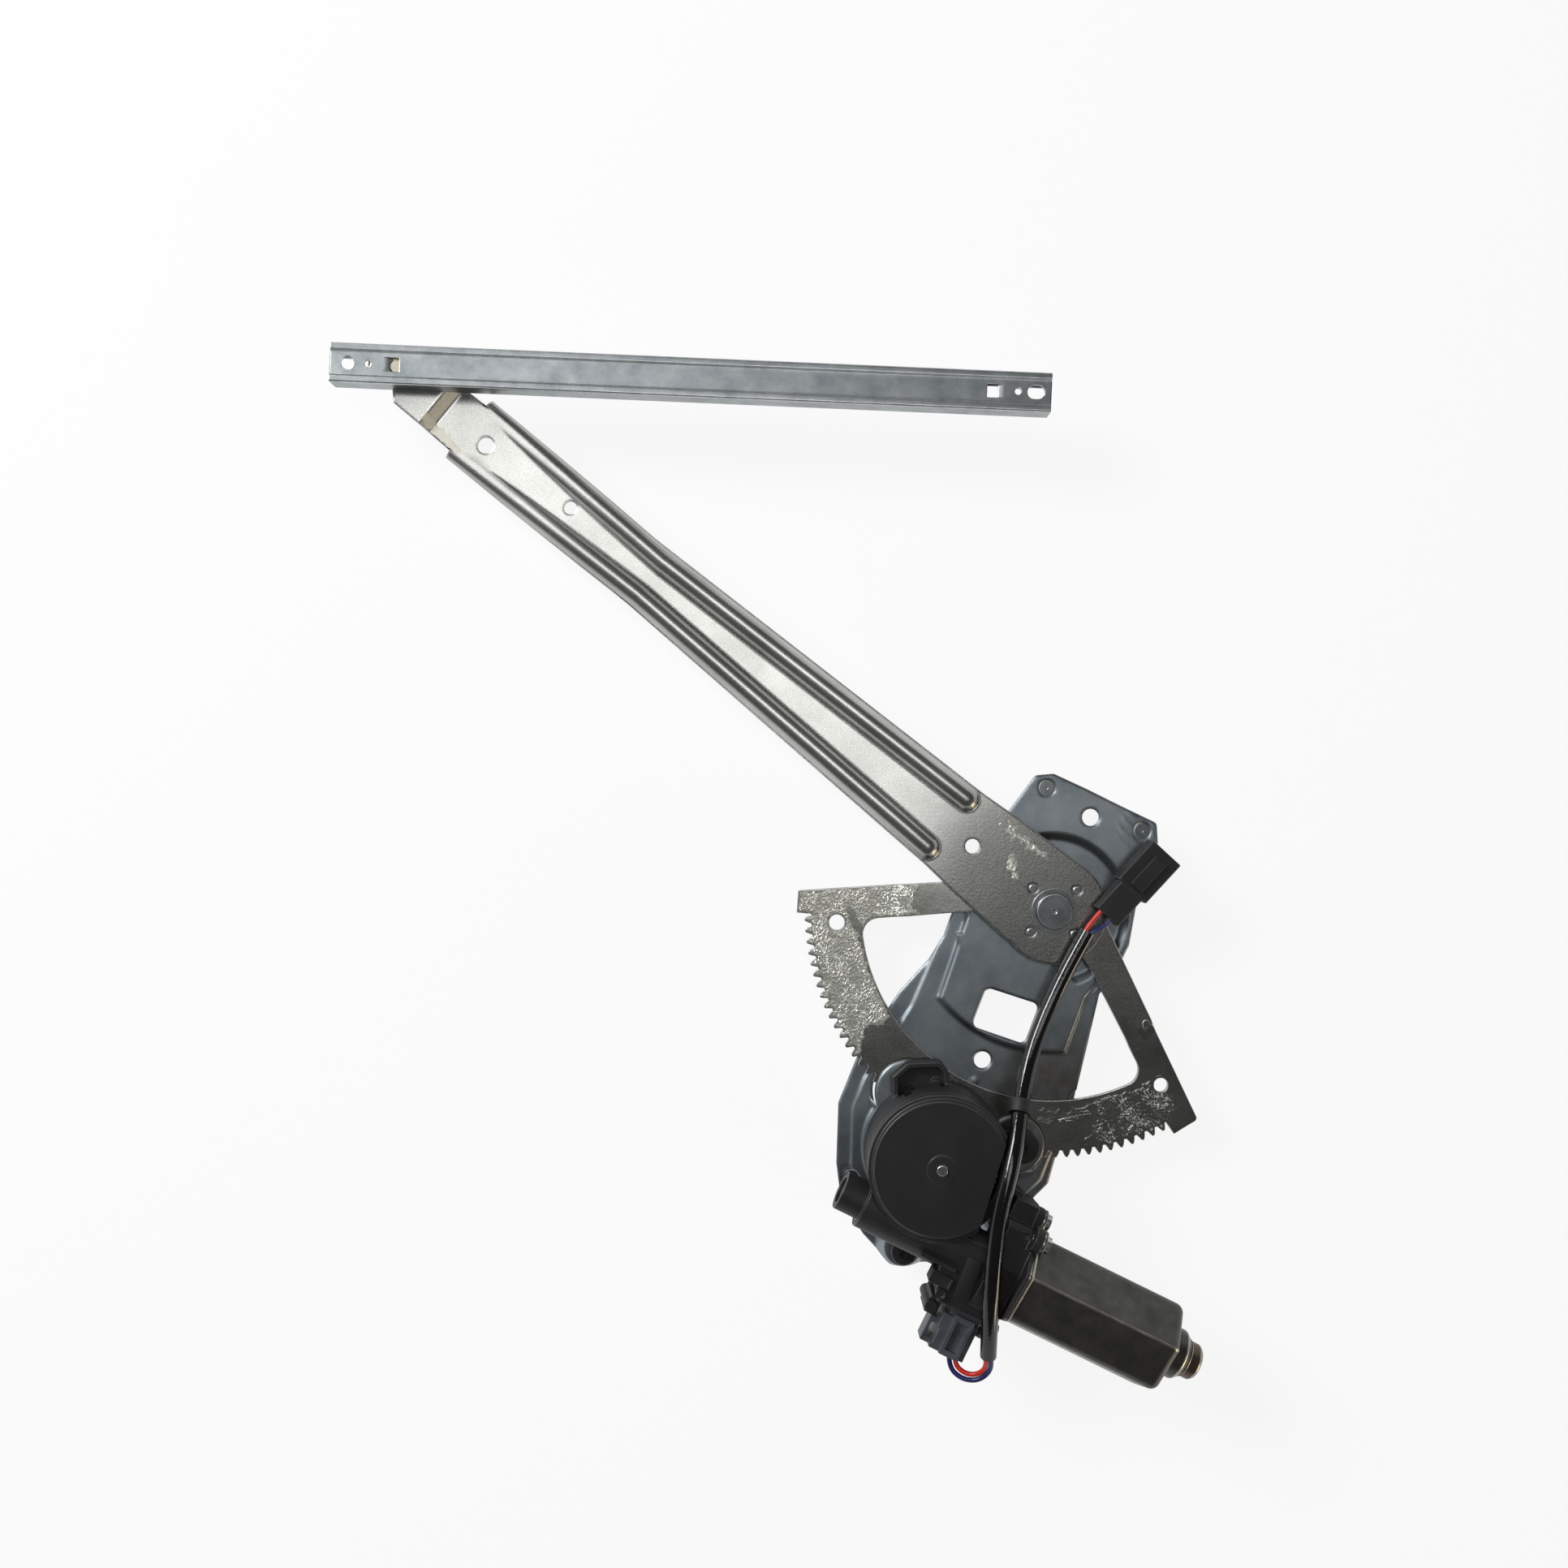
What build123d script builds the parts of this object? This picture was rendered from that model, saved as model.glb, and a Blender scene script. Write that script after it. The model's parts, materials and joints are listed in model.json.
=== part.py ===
from build123d import *
import math
import os

# Power window regulator: one lift arm on a sector gear, worm-gear motor, glass rail and harness.
# Millimetres. The origin is the seat of the upper door stud; +Z is the side that faces the cabin.
os.makedirs("parts", exist_ok=True)

# ---------------------------------------------------------------- driving dimensions
PX, PY = 2.4, -60.3          # arm pivot, from the upper door stud
SHEET = 1.6                  # base plate sheet
Z_OUT, Z_IN, Z_LOBE = 1.2, 4.2, 7.0   # back faces: outer field, inner field, gearbox seat
DRAFT = 30                   # slope of the pressed walls, from the vertical

MODULE, PRESSURE = 1.75, 25  # stub teeth
SECTOR_TEETH, PINION_TEETH = 138, 12  # sector teeth as if it were a full circle
TEETH_LEFT, TEETH_RIGHT = 24, 21      # teeth cut on each side of the pinion
ADDENDUM, DEDENDUM, BACKLASH = 0.8, 1.1, 0.12
CENTRES = MODULE * (SECTOR_TEETH + PINION_TEETH) / 2
GEAR_DIR = math.radians(243.5)
RING_IN, RING_END = 94.0, 126.0
GAUGE = 2.5                  # sector and lift arm sheet
Z_RING, Z_HUB = 3.6, 6.6
Z_ARM = Z_HUB + GAUGE
PASS_R = 129.0               # the ring and its end blocks run inside this radius

ARM_DIR, ARM_LEN = math.radians(140.5), 413.6
BEAD_R, BEAD_H = 6.6, 4.5
Z_PAD = Z_ARM + 5.0          # raised end pad of the arm
PIN_R = 6.0

RAIL_DIR = math.radians(-2.45)
RAIL_LEN, RAIL_W, RAIL_D, RAIL_T = 346.0, 19.0, 11.0, 1.2
RAIL_LEFT = 30.6             # rail end to slider at rest
Z_RAIL = 16.9

GX, GY = PX + CENTRES * math.cos(GEAR_DIR), PY + CENTRES * math.sin(GEAR_DIR)
MOTOR_DIR = math.radians(-26.1)
WORM_OFF, Z_AXIS = -32.6, 30.0        # worm axis, beside and above the output axis
WHEEL_TEETH, WHEEL_M = 61, 0.9
GB_R, GB_TOP, COVER_TOP = 34.4, 38.0, 46.0
SEAT = Z_LOBE + SHEET
CAN_HALF, CAN_START, CAN_END = 20.5, 58.0, 135.0
CAN_TURN, FLANGE_R = 17.7, 25.0       # lean of the can's top ridge, corner radius of its flange

WIRE_D, SLEEVE_OD, SLEEVE_ID = 2.4, 8.0, 6.2


# ---------------------------------------------------------------- helpers
def P(x, y):
    return (PX + x, PY + y)


def PP(*pts):
    return [P(*p) for p in pts]


def polar(r, a):
    return P(r * math.cos(a), r * math.sin(a))


def gear_plane(z):
    """Axes along and across the motor, centred on the output axis."""
    return Plane(origin=(GX, GY, z), x_dir=(math.cos(MOTOR_DIR), math.sin(MOTOR_DIR), 0),
                 z_dir=(0, 0, 1))


def motor_plane(u):
    """Square to the motor axis at u; local x points to the pivot side, local y up."""
    c, s = math.cos(MOTOR_DIR), math.sin(MOTOR_DIR)
    return Plane(origin=(GX + u * c - WORM_OFF * s, GY + u * s + WORM_OFF * c, Z_AXIS),
                 x_dir=(-s, c, 0), z_dir=(c, s, 0))


def arm_plane(z):
    return Plane(origin=(PX, PY, z), x_dir=(math.cos(ARM_DIR), math.sin(ARM_DIR), 0),
                 z_dir=(0, 0, 1))


SX, SY = PX + ARM_LEN * math.cos(ARM_DIR), PY + ARM_LEN * math.sin(ARM_DIR)


def rail_plane(z):
    return Plane(origin=(SX, SY, z), x_dir=(math.cos(RAIL_DIR), math.sin(RAIL_DIR), 0),
                 z_dir=(0, 0, 1))


def world(plane, x, y, z=0.0):
    v = plane.from_local_coords(Vector(x, y, z))
    return (v.X, v.Y, v.Z)


def save(name, part):
    part.label = name
    export_step(part, f"parts/{name}.step")


def involute(base, r):
    """Angle the involute has turned through where it reaches radius r."""
    if r <= base:
        return 0.0
    t = math.sqrt((r / base) ** 2 - 1)
    return t - math.atan(t)


def tooth(teeth, centre, pitch_r):
    """One external tooth, root to root: three-point flanks as (radius, angle) triples."""
    base = pitch_r * math.cos(math.radians(PRESSURE))
    half = math.pi / (2 * teeth) - BACKLASH / (2 * pitch_r) + involute(base, pitch_r)
    root, tip = pitch_r - DEDENDUM * MODULE, pitch_r + ADDENDUM * MODULE
    rs = (root, (root + tip) / 2, tip)
    up = [(r, centre - half + involute(base, r)) for r in rs]
    down = [(r, 2 * centre - a) for r, a in reversed(up)]
    return up, down


def tooth_chain(teeth, centres, pitch_r, point):
    """Lines from the first root to the last root of a run of teeth."""
    last = None
    for c in centres:
        up, down = tooth(teeth, c, pitch_r)
        u, d = [point(*q) for q in up], [point(*q) for q in down]
        if last is not None:
            Line(last, u[0])
        ThreePointArc(*u)
        Line(u[2], d[0])
        ThreePointArc(*d)
        last = d[2]


def run_radii(pts):
    """Bend radii that leave a short straight between the arcs of a route."""
    v = [Vector(*p) for p in pts]
    out = []
    for a, b, c in zip(v, v[1:], v[2:]):
        turn = math.radians((b - a).get_angle(c - b))
        out.append(0.45 * min((b - a).length, (c - b).length) / math.tan(turn / 2))
    return out


def beside(pts, d):
    """The same route d to the right of it, seen from above."""
    out = []
    for i, p in enumerate(pts):
        a, b = pts[max(i - 1, 0)], pts[min(i + 1, len(pts) - 1)]
        d1 = Vector(p[0] - a[0], p[1] - a[1], 0) if i else Vector(b[0] - p[0], b[1] - p[1], 0)
        d2 = Vector(b[0] - p[0], b[1] - p[1], 0) if b != p else d1
        m = d1.normalized() + d2.normalized()
        m = m.normalized()
        k = d / max(0.5, m.dot(d1.normalized()))
        out.append((p[0] + m.Y * k, p[1] - m.X * k, p[2]))
    return out


def inner_field(inset):
    """Corners and step arc of the raised inner field; its left side is the flange."""
    r = STEP_R - inset
    ends = [polar(r, math.radians(a)) for a in (217, 247, 277)]
    return [ends[0], *PP((-52 + inset, -26), (-44 + inset, -2), (-44 + inset, 80), (70, 80),
            (70, -20 - inset), (30 - inset / 2, -32 - inset), (19 - inset, -45)), ends[2]], ends


def soften(pts, radius):
    """Rounds the inward corners of the sketch with these corners, listed clockwise."""
    for a, p, b in zip(pts[-1:] + pts[:-1], pts, pts[1:] + pts[:1]):
        turn = (p[0] - a[0]) * (b[1] - p[1]) - (p[1] - a[1]) * (b[0] - p[0])
        near = vertices().sort_by_distance((p[0], p[1], 0))[0]
        if turn > 1.0 and near.distance_to(Vector(p[0], p[1], 0)) < 0.01:
            fillet(near, radius)


def dish(r0, r1, z0, z1, chord):
    """Cone frustum on the pivot without the part that lies beyond the chord."""
    with BuildPart() as frustum:
        with Locations((PX, PY, (z0 + z1) / 2)):
            Cone(r0, r1, z1 - z0)
        with Locations(arm_plane((z0 + z1) / 2).location):
            with Locations((0, chord + 50, 0)):
                Box(200, 100, 20, mode=Mode.SUBTRACT)
    return frustum.part


# ---------------------------------------------------------------- base plate
OUTLINE = PP((-46, 6), (-20.9, 49.4), (-8, 66.6), (1, 67.4), (17.2, 59.9), (34.1, 51.5),
             (51.8, 43), (52.4, 33), (42.1, 4.5), (38.1, -17.6), (31, -32), (24.1, -42),
             (18, -67.9), (11, -97), (4, -118), (-1, -136), (-9, -143.8), (-26, -155),
             (-38, -169), (-52, -175), (-80, -175), (-93, -161), (-104, -144), (-106.2, -126),
             (-105.2, -96), (-99.5, -82), (-95, -71), (-75, -41), (-60.5, -25), (-53, -13))
OUTER = PP((-50, 0), (-50, 80), (70, 80), (70, -40), (11, -93), (2, -120), (-4, -135), (-16, -146),
           (-32, -156), (-46, -169), (-76, -170), (-88, -160), (-98.5, -143), (-100.5, -126),
           (-99.5, -98), (-93.5, -83), (-70, -47))
HOLLOW = PP((-48, 0), (-48, 80), (70, 80), (70, -42), (9, -92), (0, -120), (-6, -134), (-17, -144),
            (-33, -154), (-47, -167), (-75, -168), (-86.6, -158.6), (-96.7, -142), (-98.6, -126),
            (-97.7, -98), (-91.8, -84), (-68, -48))
STEP_R = 73.0
LOBES = [(-70.7, -89.6, 16.0), (-18.5, -115.0, 14.0), (GX - PX, GY - PY, 32.0),
         (-73.8, -165.6, 9.0), (-44.0, -158.0, 9.0)]
STUDS = [(0.0, 0.0, Z_IN), (47.0, -21.3, Z_IN), (-96.7, -193.3, Z_OUT)]
DISH_R = 38.5
EARS = [(-72.6, -86.6), (-16.0, -114.6), (-73.8, -165.6)]

with BuildPart() as base_plate:
    with BuildSketch(Plane.XY):
        with BuildLine():
            Polyline(*OUTLINE, close=True)
        make_face()
        fillet(vertices(), 2.5)
    extrude(amount=SHEET)
    # outer field, a little above the foot strip
    with BuildSketch(Plane.XY):
        with BuildLine():
            Polyline(*reversed(OUTER), close=True)
        make_face()
        soften(OUTER, 3.0)
    extrude(amount=Z_OUT + SHEET, taper=DRAFT)
    lean = math.tan(math.radians(DRAFT))
    for x, y, r in LOBES:
        with Locations((*P(x, y), SEAT / 2)):
            Cone(r + SEAT * lean, r, SEAT)
    # the hollow side of every raised field
    with BuildSketch(Plane.XY):
        with BuildLine():
            Polyline(*reversed(HOLLOW), close=True)
        make_face()
        soften(HOLLOW, 3.0)
    extrude(amount=Z_OUT, taper=DRAFT, mode=Mode.SUBTRACT)
    for x, y, r in LOBES:
        with Locations((*P(x, y), Z_LOBE / 2)):
            Cone(r - 0.9 + Z_LOBE * lean, r - 0.9, Z_LOBE, mode=Mode.SUBTRACT)
    # slot that the sector ring runs through, under the two lobes
    with Locations((PX, PY, (Z_OUT + SHEET + Z_LOBE) / 2)):
        Cylinder(PASS_R, Z_LOBE - Z_OUT - SHEET, mode=Mode.SUBTRACT)
    # inner field: its left wall is the flange, its lower wall the step
    with BuildSketch(Plane.XY):
        corners, step = inner_field(0)
        with BuildLine():
            Polyline(*reversed(corners))
            ThreePointArc(*step)
        make_face()
        soften(corners, 3.0)
    extrude(amount=Z_IN + SHEET, taper=DRAFT)
    with BuildSketch(Plane.XY):
        corners, step = inner_field(2)
        with BuildLine():
            Polyline(*reversed(corners))
            ThreePointArc(*step)
        make_face()
        soften(corners, 3.0)
    extrude(amount=Z_IN, taper=DRAFT, mode=Mode.SUBTRACT)
    # dish around the pivot, cut off straight on the side under the arm
    add(dish(36.2, 40.2, Z_OUT, Z_IN + 0.4, 21.6))
    add(dish(35.0, DISH_R, Z_OUT + SHEET, Z_IN + SHEET + 0.05, 20.0), mode=Mode.SUBTRACT)
    # cross rib from the flange to the dish
    with Locations(Location((*P(-38.5, -13.2), Z_IN + 0.3), (0, 0, 10.5))):
        Box(16, 6, 2.6)
    # trim everything to the outline
    with BuildSketch(Plane.XY.offset(-1)):
        with BuildLine():
            Polyline(*OUTLINE, close=True)
        make_face()
        fillet(vertices(), 2.5)
    extrude(amount=20, mode=Mode.INTERSECT)
    # holes
    with Locations((*P(0, 0), 4)):
        Cylinder(PIN_R, 20, mode=Mode.SUBTRACT)
    with Locations((*P(19.2, 45.8), 4), (*P(-33.8, -74.5), 4)):
        Cylinder(4.2, 20, mode=Mode.SUBTRACT)
    with BuildSketch(Plane.XY.offset(-1)):
        with BuildLine():
            Polyline(*PP((-32.2, -38.1), (-6.1, -46.6), (-13.5, -66.2), (-39.6, -57.2)), close=True)
        make_face()
        fillet(vertices(), 3.2)
    extrude(amount=20, mode=Mode.SUBTRACT)
    for x, y, z in STUDS:
        with Locations((x, y, z + SHEET / 2)):
            Cylinder(4.0, SHEET + 2, mode=Mode.SUBTRACT)
        with Locations((x, y, z / 2)):
            Cylinder(6.05, z, mode=Mode.SUBTRACT)
    with Locations((GX, GY, SEAT)):
        Cylinder(14.0, 6, mode=Mode.SUBTRACT)
    for x, y in EARS:
        with Locations((*P(x, y), SEAT)):
            Cylinder(1.6, 6, mode=Mode.SUBTRACT)
    # small guide dome that the ring runs on
    with Locations((*P(-37.8, -85.0), Z_OUT + SHEET + 0.3)):
        Cone(2.4, 1.2, 0.6)
save("base_plate", base_plate.part)

with BuildPart() as door_studs:
    for x, y, z in STUDS:
        with Locations((x, y, z + SHEET / 2)):
            Cylinder(4.0, SHEET)
        with Locations((x, y, z / 2)):
            Cylinder(6.0, z)
        with Locations((x, y, -6.5)):
            Cylinder(3.0, 13.0)
        with Locations((x, y, -13.5)):
            Cone(2.2, 3.0, 1.0)
    for x, y, z in STUDS:
        with Locations((x, y, z + SHEET)):
            Cone(0.0, 0.8, 1.2, mode=Mode.SUBTRACT)
save("door_studs", door_studs.part)

# ---------------------------------------------------------------- pivot
PIN_TOP = Z_ARM + GAUGE + 0.9
with BuildPart() as pivot_pin:
    with Locations((*P(0, 0), 0.7)):
        Cylinder(9.0, 1.0)
    with Locations((*P(0, 0), (1.2 + PIN_TOP) / 2)):
        Cylinder(PIN_R, PIN_TOP - 1.2)
    with Locations((*P(0, 0), PIN_TOP + 0.75)):
        Cylinder(9.0, 1.5)
    chamfer(edges().sort_by(Axis.Z)[-1], 0.4)
    with Locations((*P(0, 0), PIN_TOP + 1.2)):
        Cone(0.2, 1.3, 1.2, mode=Mode.SUBTRACT)
save("pivot_pin", pivot_pin.part)

with BuildPart() as pivot_washer:
    with BuildSketch(Plane.XY.offset(Z_ARM + GAUGE + 0.05)):
        with Locations(P(0, 0)):
            Circle(11.3)
            Circle(PIN_R + 0.05, mode=Mode.SUBTRACT)
    extrude(amount=0.8)
save("pivot_washer", pivot_washer.part)

with BuildPart() as pivot_bush:
    with BuildSketch(Plane.XY.offset(Z_OUT + SHEET)):
        with Locations(P(0, 0)):
            Circle(14.0)
            Circle(PIN_R + 0.05, mode=Mode.SUBTRACT)
    extrude(amount=Z_HUB - Z_OUT - SHEET - 0.05)
save("pivot_bush", pivot_bush.part)

# ---------------------------------------------------------------- sector gear
PITCH = 2 * math.pi / SECTOR_TEETH
CENTRES_LIST = [GEAR_DIR + (k + 0.5) * PITCH for k in range(-TEETH_LEFT, TEETH_RIGHT)]
ROOT_R = MODULE * (SECTOR_TEETH / 2 - DEDENDUM)
RIVETS = [polar(15.2, math.radians(a)) for a in (42, 132, 222, 312)]

with BuildPart() as sector_gear:
    with BuildSketch(Plane.XY):
        with BuildLine():
            left, right = CENTRES_LIST[0] - PITCH / 2, CENTRES_LIST[-1] + PITCH / 2
            first = polar(*tooth(SECTOR_TEETH, CENTRES_LIST[0], MODULE * SECTOR_TEETH / 2)[0][0])
            end = polar(*tooth(SECTOR_TEETH, CENTRES_LIST[-1], MODULE * SECTOR_TEETH / 2)[1][2])
            tooth_chain(SECTOR_TEETH, CENTRES_LIST, MODULE * SECTOR_TEETH / 2, polar)
            Polyline(end, polar(ROOT_R, right), polar(RING_END, right + 0.006),
                     polar(RING_END, math.radians(304.9)), *PP((19, 8.6), (6, 22), (-15, 16.7),
                     (-125.2, 9.8)), polar(RING_END, left - 0.006), polar(ROOT_R, left), first)
        make_face()
        fillet(vertices().sort_by_distance((*polar(RING_END, math.radians(304.9)), 0))[0], 2)
        with BuildLine():
            Polyline(polar(RING_IN, math.radians(182.8)), *PP((-39.5, -0.3), (-24, 1), (-15, -19),
                     (14, -22), (18.6, -29.2)), polar(RING_IN, math.radians(298.9)))
            ThreePointArc(polar(RING_IN, math.radians(298.9)), polar(RING_IN, GEAR_DIR),
                          polar(RING_IN, math.radians(182.8)))
        make_face(mode=Mode.SUBTRACT)
        for a in (182.8, 298.9):
            fillet(vertices().sort_by_distance((*polar(RING_IN, math.radians(a)), 0))[0], 8)
        with Locations(P(-106.1, -6.0)):
            Circle(3.8, mode=Mode.SUBTRACT)
        with Locations(P(53.8, -86.3)):
            Circle(3.4, mode=Mode.SUBTRACT)
        with Locations(P(0, 0)):
            Circle(PIN_R + 0.05, mode=Mode.SUBTRACT)
        with Locations(*RIVETS):
            Circle(2.2, mode=Mode.SUBTRACT)
    extrude(amount=12)
    # the joggle between hub level and ring level
    with BuildSketch(Plane(origin=(*P(0, 0), 0), x_dir=(1, 0, 0), z_dir=(0, -1, 0))):
        with BuildLine():
            Polyline((0, Z_HUB), (71, Z_HUB), (78, Z_RING), (140, Z_RING), (140, Z_RING + GAUGE),
                     (79.2, Z_RING + GAUGE), (72.2, Z_ARM), (0, Z_ARM), close=True)
        make_face()
    revolve(axis=Axis((*P(0, 0), 0), (0, 0, 1)), mode=Mode.INTERSECT)
    # half-moon lance mark
    with BuildSketch(Plane.XY.offset(Z_ARM - 0.5)):
        with Locations(Location((*P(47.0, -58.0), 0), (0, 0, 115))):
            SlotOverall(9, 3.6)
    extrude(amount=1, mode=Mode.SUBTRACT)
save("sector_gear", sector_gear.part)

# ---------------------------------------------------------------- lift arm
WIDTHS = [(45, 24.0), (268, 16.4), (385, 13.9), (406, 13.8)]
BEADS = [((68, 15.1, Z_ARM + GAUGE + BEAD_H - BEAD_R), (255, 10.0, Z_ARM + GAUGE + BEAD_H - BEAD_R)),
         ((255, 10.0, Z_ARM + GAUGE + BEAD_H - BEAD_R), (372, 13.0, Z_ARM + GAUGE - BEAD_R))]


def bead_rods(radius, mode):
    """Both pressed beads, as rods along the arm's edges with a round lower end."""
    for side in (1, -1):
        for a, b in BEADS:
            a, b = [Vector(*world(arm_plane(0), p[0], side * p[1], p[2])) for p in (a, b)]
            with Locations(Plane(origin=a, z_dir=b - a).location):
                Cylinder(radius, (b - a).length, mode=mode,
                         align=(Align.CENTER, Align.CENTER, Align.MIN))
                Sphere(radius, mode=mode)


with BuildPart() as lift_arm:
    with BuildSketch(arm_plane(Z_ARM - 1)):
        with BuildLine():
            Polyline((0, 26.2), (45, 24.0), (63, 22.6), *WIDTHS[1:], (419.8, 0),
                     *[(s, -w) for s, w in reversed(WIDTHS[1:])], (63, -22.6), (45, -24.0), (0, -26.2),
                     close=True)
        make_face()
        fillet(vertices().sort_by_distance(world(arm_plane(Z_ARM - 1), 419.8, 0))[0], 10)
        Circle(26.2)
    extrude(amount=14)
    with BuildSketch(Plane(origin=world(arm_plane(0), 0, 60), x_dir=(math.cos(ARM_DIR),
                     math.sin(ARM_DIR), 0), z_dir=(math.sin(ARM_DIR), -math.cos(ARM_DIR), 0))):
        with BuildLine():
            Polyline((-40, Z_ARM), (386.5, Z_ARM), (392, Z_PAD), (460, Z_PAD), (460, Z_PAD + GAUGE),
                     (390.6, Z_PAD + GAUGE), (385.1, Z_ARM + GAUGE), (-40, Z_ARM + GAUGE), close=True)
        make_face()
    extrude(amount=120, mode=Mode.INTERSECT)
    bead_rods(BEAD_R, Mode.ADD)
    with BuildSketch(arm_plane(Z_ARM)):
        Rectangle(1000, 200)
    extrude(amount=-30, mode=Mode.SUBTRACT)
    bead_rods(BEAD_R - GAUGE, Mode.SUBTRACT)
    for s, t, d in ((51.0, 0.8, 7.0), (308.5, -1.8, 6.4), (360, 1.0, 8.0)):
        with BuildSketch(arm_plane(0)):
            with Locations((s, t)):
                Circle(d / 2)
        extrude(amount=30, mode=Mode.SUBTRACT)
    with Locations((*P(0, 0), Z_ARM)):
        Cylinder(PIN_R + 0.05, 10, mode=Mode.SUBTRACT)
    for x, y in RIVETS:
        with Locations((x, y, Z_ARM)):
            Cylinder(2.2, 10, mode=Mode.SUBTRACT)
    with Locations((SX, SY, Z_PAD)):
        Cylinder(3.0, 10, mode=Mode.SUBTRACT)
save("lift_arm", lift_arm.part)

with BuildPart() as hub_rivets:
    for x, y in RIVETS:
        with Locations((x, y, Z_HUB + GAUGE)):
            Cylinder(2.2, 2 * GAUGE)
        with Locations((x, y, Z_ARM + GAUGE + 0.2)):
            Cone(2.2, 1.7, 0.4)
save("hub_rivets", hub_rivets.part)

with BuildPart() as slider_stud:
    with Locations((SX, SY, Z_PAD - 0.5)):
        Cylinder(5.0, 1.0)
    with Locations((SX, SY, Z_PAD + 5.0)):
        Cylinder(3.0, 10.0)
    chamfer(edges().sort_by(Axis.Z)[-1], 0.4)
save("slider_stud", slider_stud.part)

# ---------------------------------------------------------------- slider shoe and glass rail
SHOE_Z0, SHOE_Z1 = Z_RAIL + RAIL_T + 0.3, Z_RAIL + RAIL_D - RAIL_T - 1.0 - 1.3
with BuildPart() as slider_shoe:
    with BuildSketch(rail_plane(SHOE_Z0)):
        RectangleRounded(26, 16.0, 3)
    extrude(amount=SHOE_Z1 - SHOE_Z0)
    with BuildSketch(rail_plane(SHOE_Z1)):
        with Locations((4.7, 0)):
            Rectangle(11.0, 9.0)
    extrude(amount=1.0)
    with BuildSketch(rail_plane(Z_PAD + GAUGE + 0.1)):
        Circle(4.2)
    extrude(amount=SHOE_Z0 - Z_PAD - GAUGE - 0.1)
    with BuildSketch(rail_plane(Z_PAD)):
        Circle(3.04)
    extrude(amount=10.3, mode=Mode.SUBTRACT)
save("slider_shoe", slider_shoe.part)

h, t, w = RAIL_D, RAIL_T, RAIL_W / 2
RAIL_SECTION = [(-w, 0), (-4.6, 0), (-4.6, t), (-w + t, t), (-w + t, h - t), (-w + 3.5, h - t),
                (-w + 4.3, h - t - 1), (w - 4.3, h - t - 1), (w - 3.5, h - t), (w - t, h - t), (w - t, t),
                (4.6, t), (4.6, 0), (w, 0), (w, h - 0.6), (w - 0.6, h), (w - 3.1, h), (w - 3.9, h - 1),
                (-w + 3.9, h - 1), (-w + 3.1, h), (-w + 0.6, h), (-w, h - 0.6)]
X0 = -RAIL_LEFT
WINDOWS = [(-1.5, -1), (288.7, 1)]
with BuildPart() as glass_rail:
    with BuildSketch(Plane(origin=world(rail_plane(Z_RAIL), X0, 0),
                           x_dir=(-math.sin(RAIL_DIR), math.cos(RAIL_DIR), 0),
                           z_dir=(math.cos(RAIL_DIR), math.sin(RAIL_DIR), 0))):
        with BuildLine():
            Polyline(*RAIL_SECTION, close=True)
        make_face()
    extrude(amount=RAIL_LEN)
    with BuildSketch(rail_plane(Z_RAIL + 5)):
        with Locations((X0 + 8.3, 0)):
            Circle(3.0)
        with Locations((X0 + 18.0, 0), (X0 + RAIL_LEN - 16.0, 0)):
            Circle(1.55)
        with Locations((X0 + RAIL_LEN - 7.4, 0)):
            SlotOverall(8.2, 6.4)
        with Locations(*[(x, 0) for x, _ in WINDOWS]):
            Rectangle(8.2, 6.6)
    extrude(amount=10, mode=Mode.SUBTRACT)
    # the tabs lanced inward at the windows, which stop the slider
    for x, side in WINDOWS:
        with BuildSketch(Plane(origin=world(rail_plane(Z_RAIL), x + side * 4.1, 3.3),
                               x_dir=(math.cos(RAIL_DIR), math.sin(RAIL_DIR), 0),
                               z_dir=(math.sin(RAIL_DIR), -math.cos(RAIL_DIR), 0))):
            with BuildLine():
                Polyline((0, h - 1), (0, h - 1 - t), (-side * 2.2, h - 3.0), (-side * 3.1, h - 2.2),
                         close=True)
            make_face()
        extrude(amount=6.6)
save("glass_rail", glass_rail.part)

# ---------------------------------------------------------------- gearbox housing and cover
CLIP_DIR = (0.954, -0.299)   # the side that is cut flat beside the harness


def clip_plane(d):
    """Face of the flat side, d from the output axis, facing outward."""
    return Plane(origin=(GX + d * CLIP_DIR[0], GY + d * CLIP_DIR[1], 0), x_dir=(0, 0, 1),
                 z_dir=(*CLIP_DIR, 0))


def box_un(u0, u1, n0, n1, z0, z1, mode=Mode.ADD):
    """Block along the motor's directions."""
    with Locations(gear_plane((z0 + z1) / 2).location):
        with Locations(((u0 + u1) / 2, (n0 + n1) / 2, 0)):
            Box(u1 - u0, n1 - n0, z1 - z0, mode=mode)


def rod(u0, u1, radius, mode=Mode.ADD):
    """Cylinder on the motor axis."""
    with Locations(motor_plane(u0).location):
        Cylinder(radius, u1 - u0, mode=mode, align=(Align.CENTER, Align.CENTER, Align.MIN))


def hexagon(corner_r):
    """Six-sided section of the can, turned so that one ridge is near the top."""
    return [(corner_r * math.sin(math.radians(CAN_TURN + 60 * k)),
             corner_r * math.cos(math.radians(CAN_TURN + 60 * k))) for k in range(6)]


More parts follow.
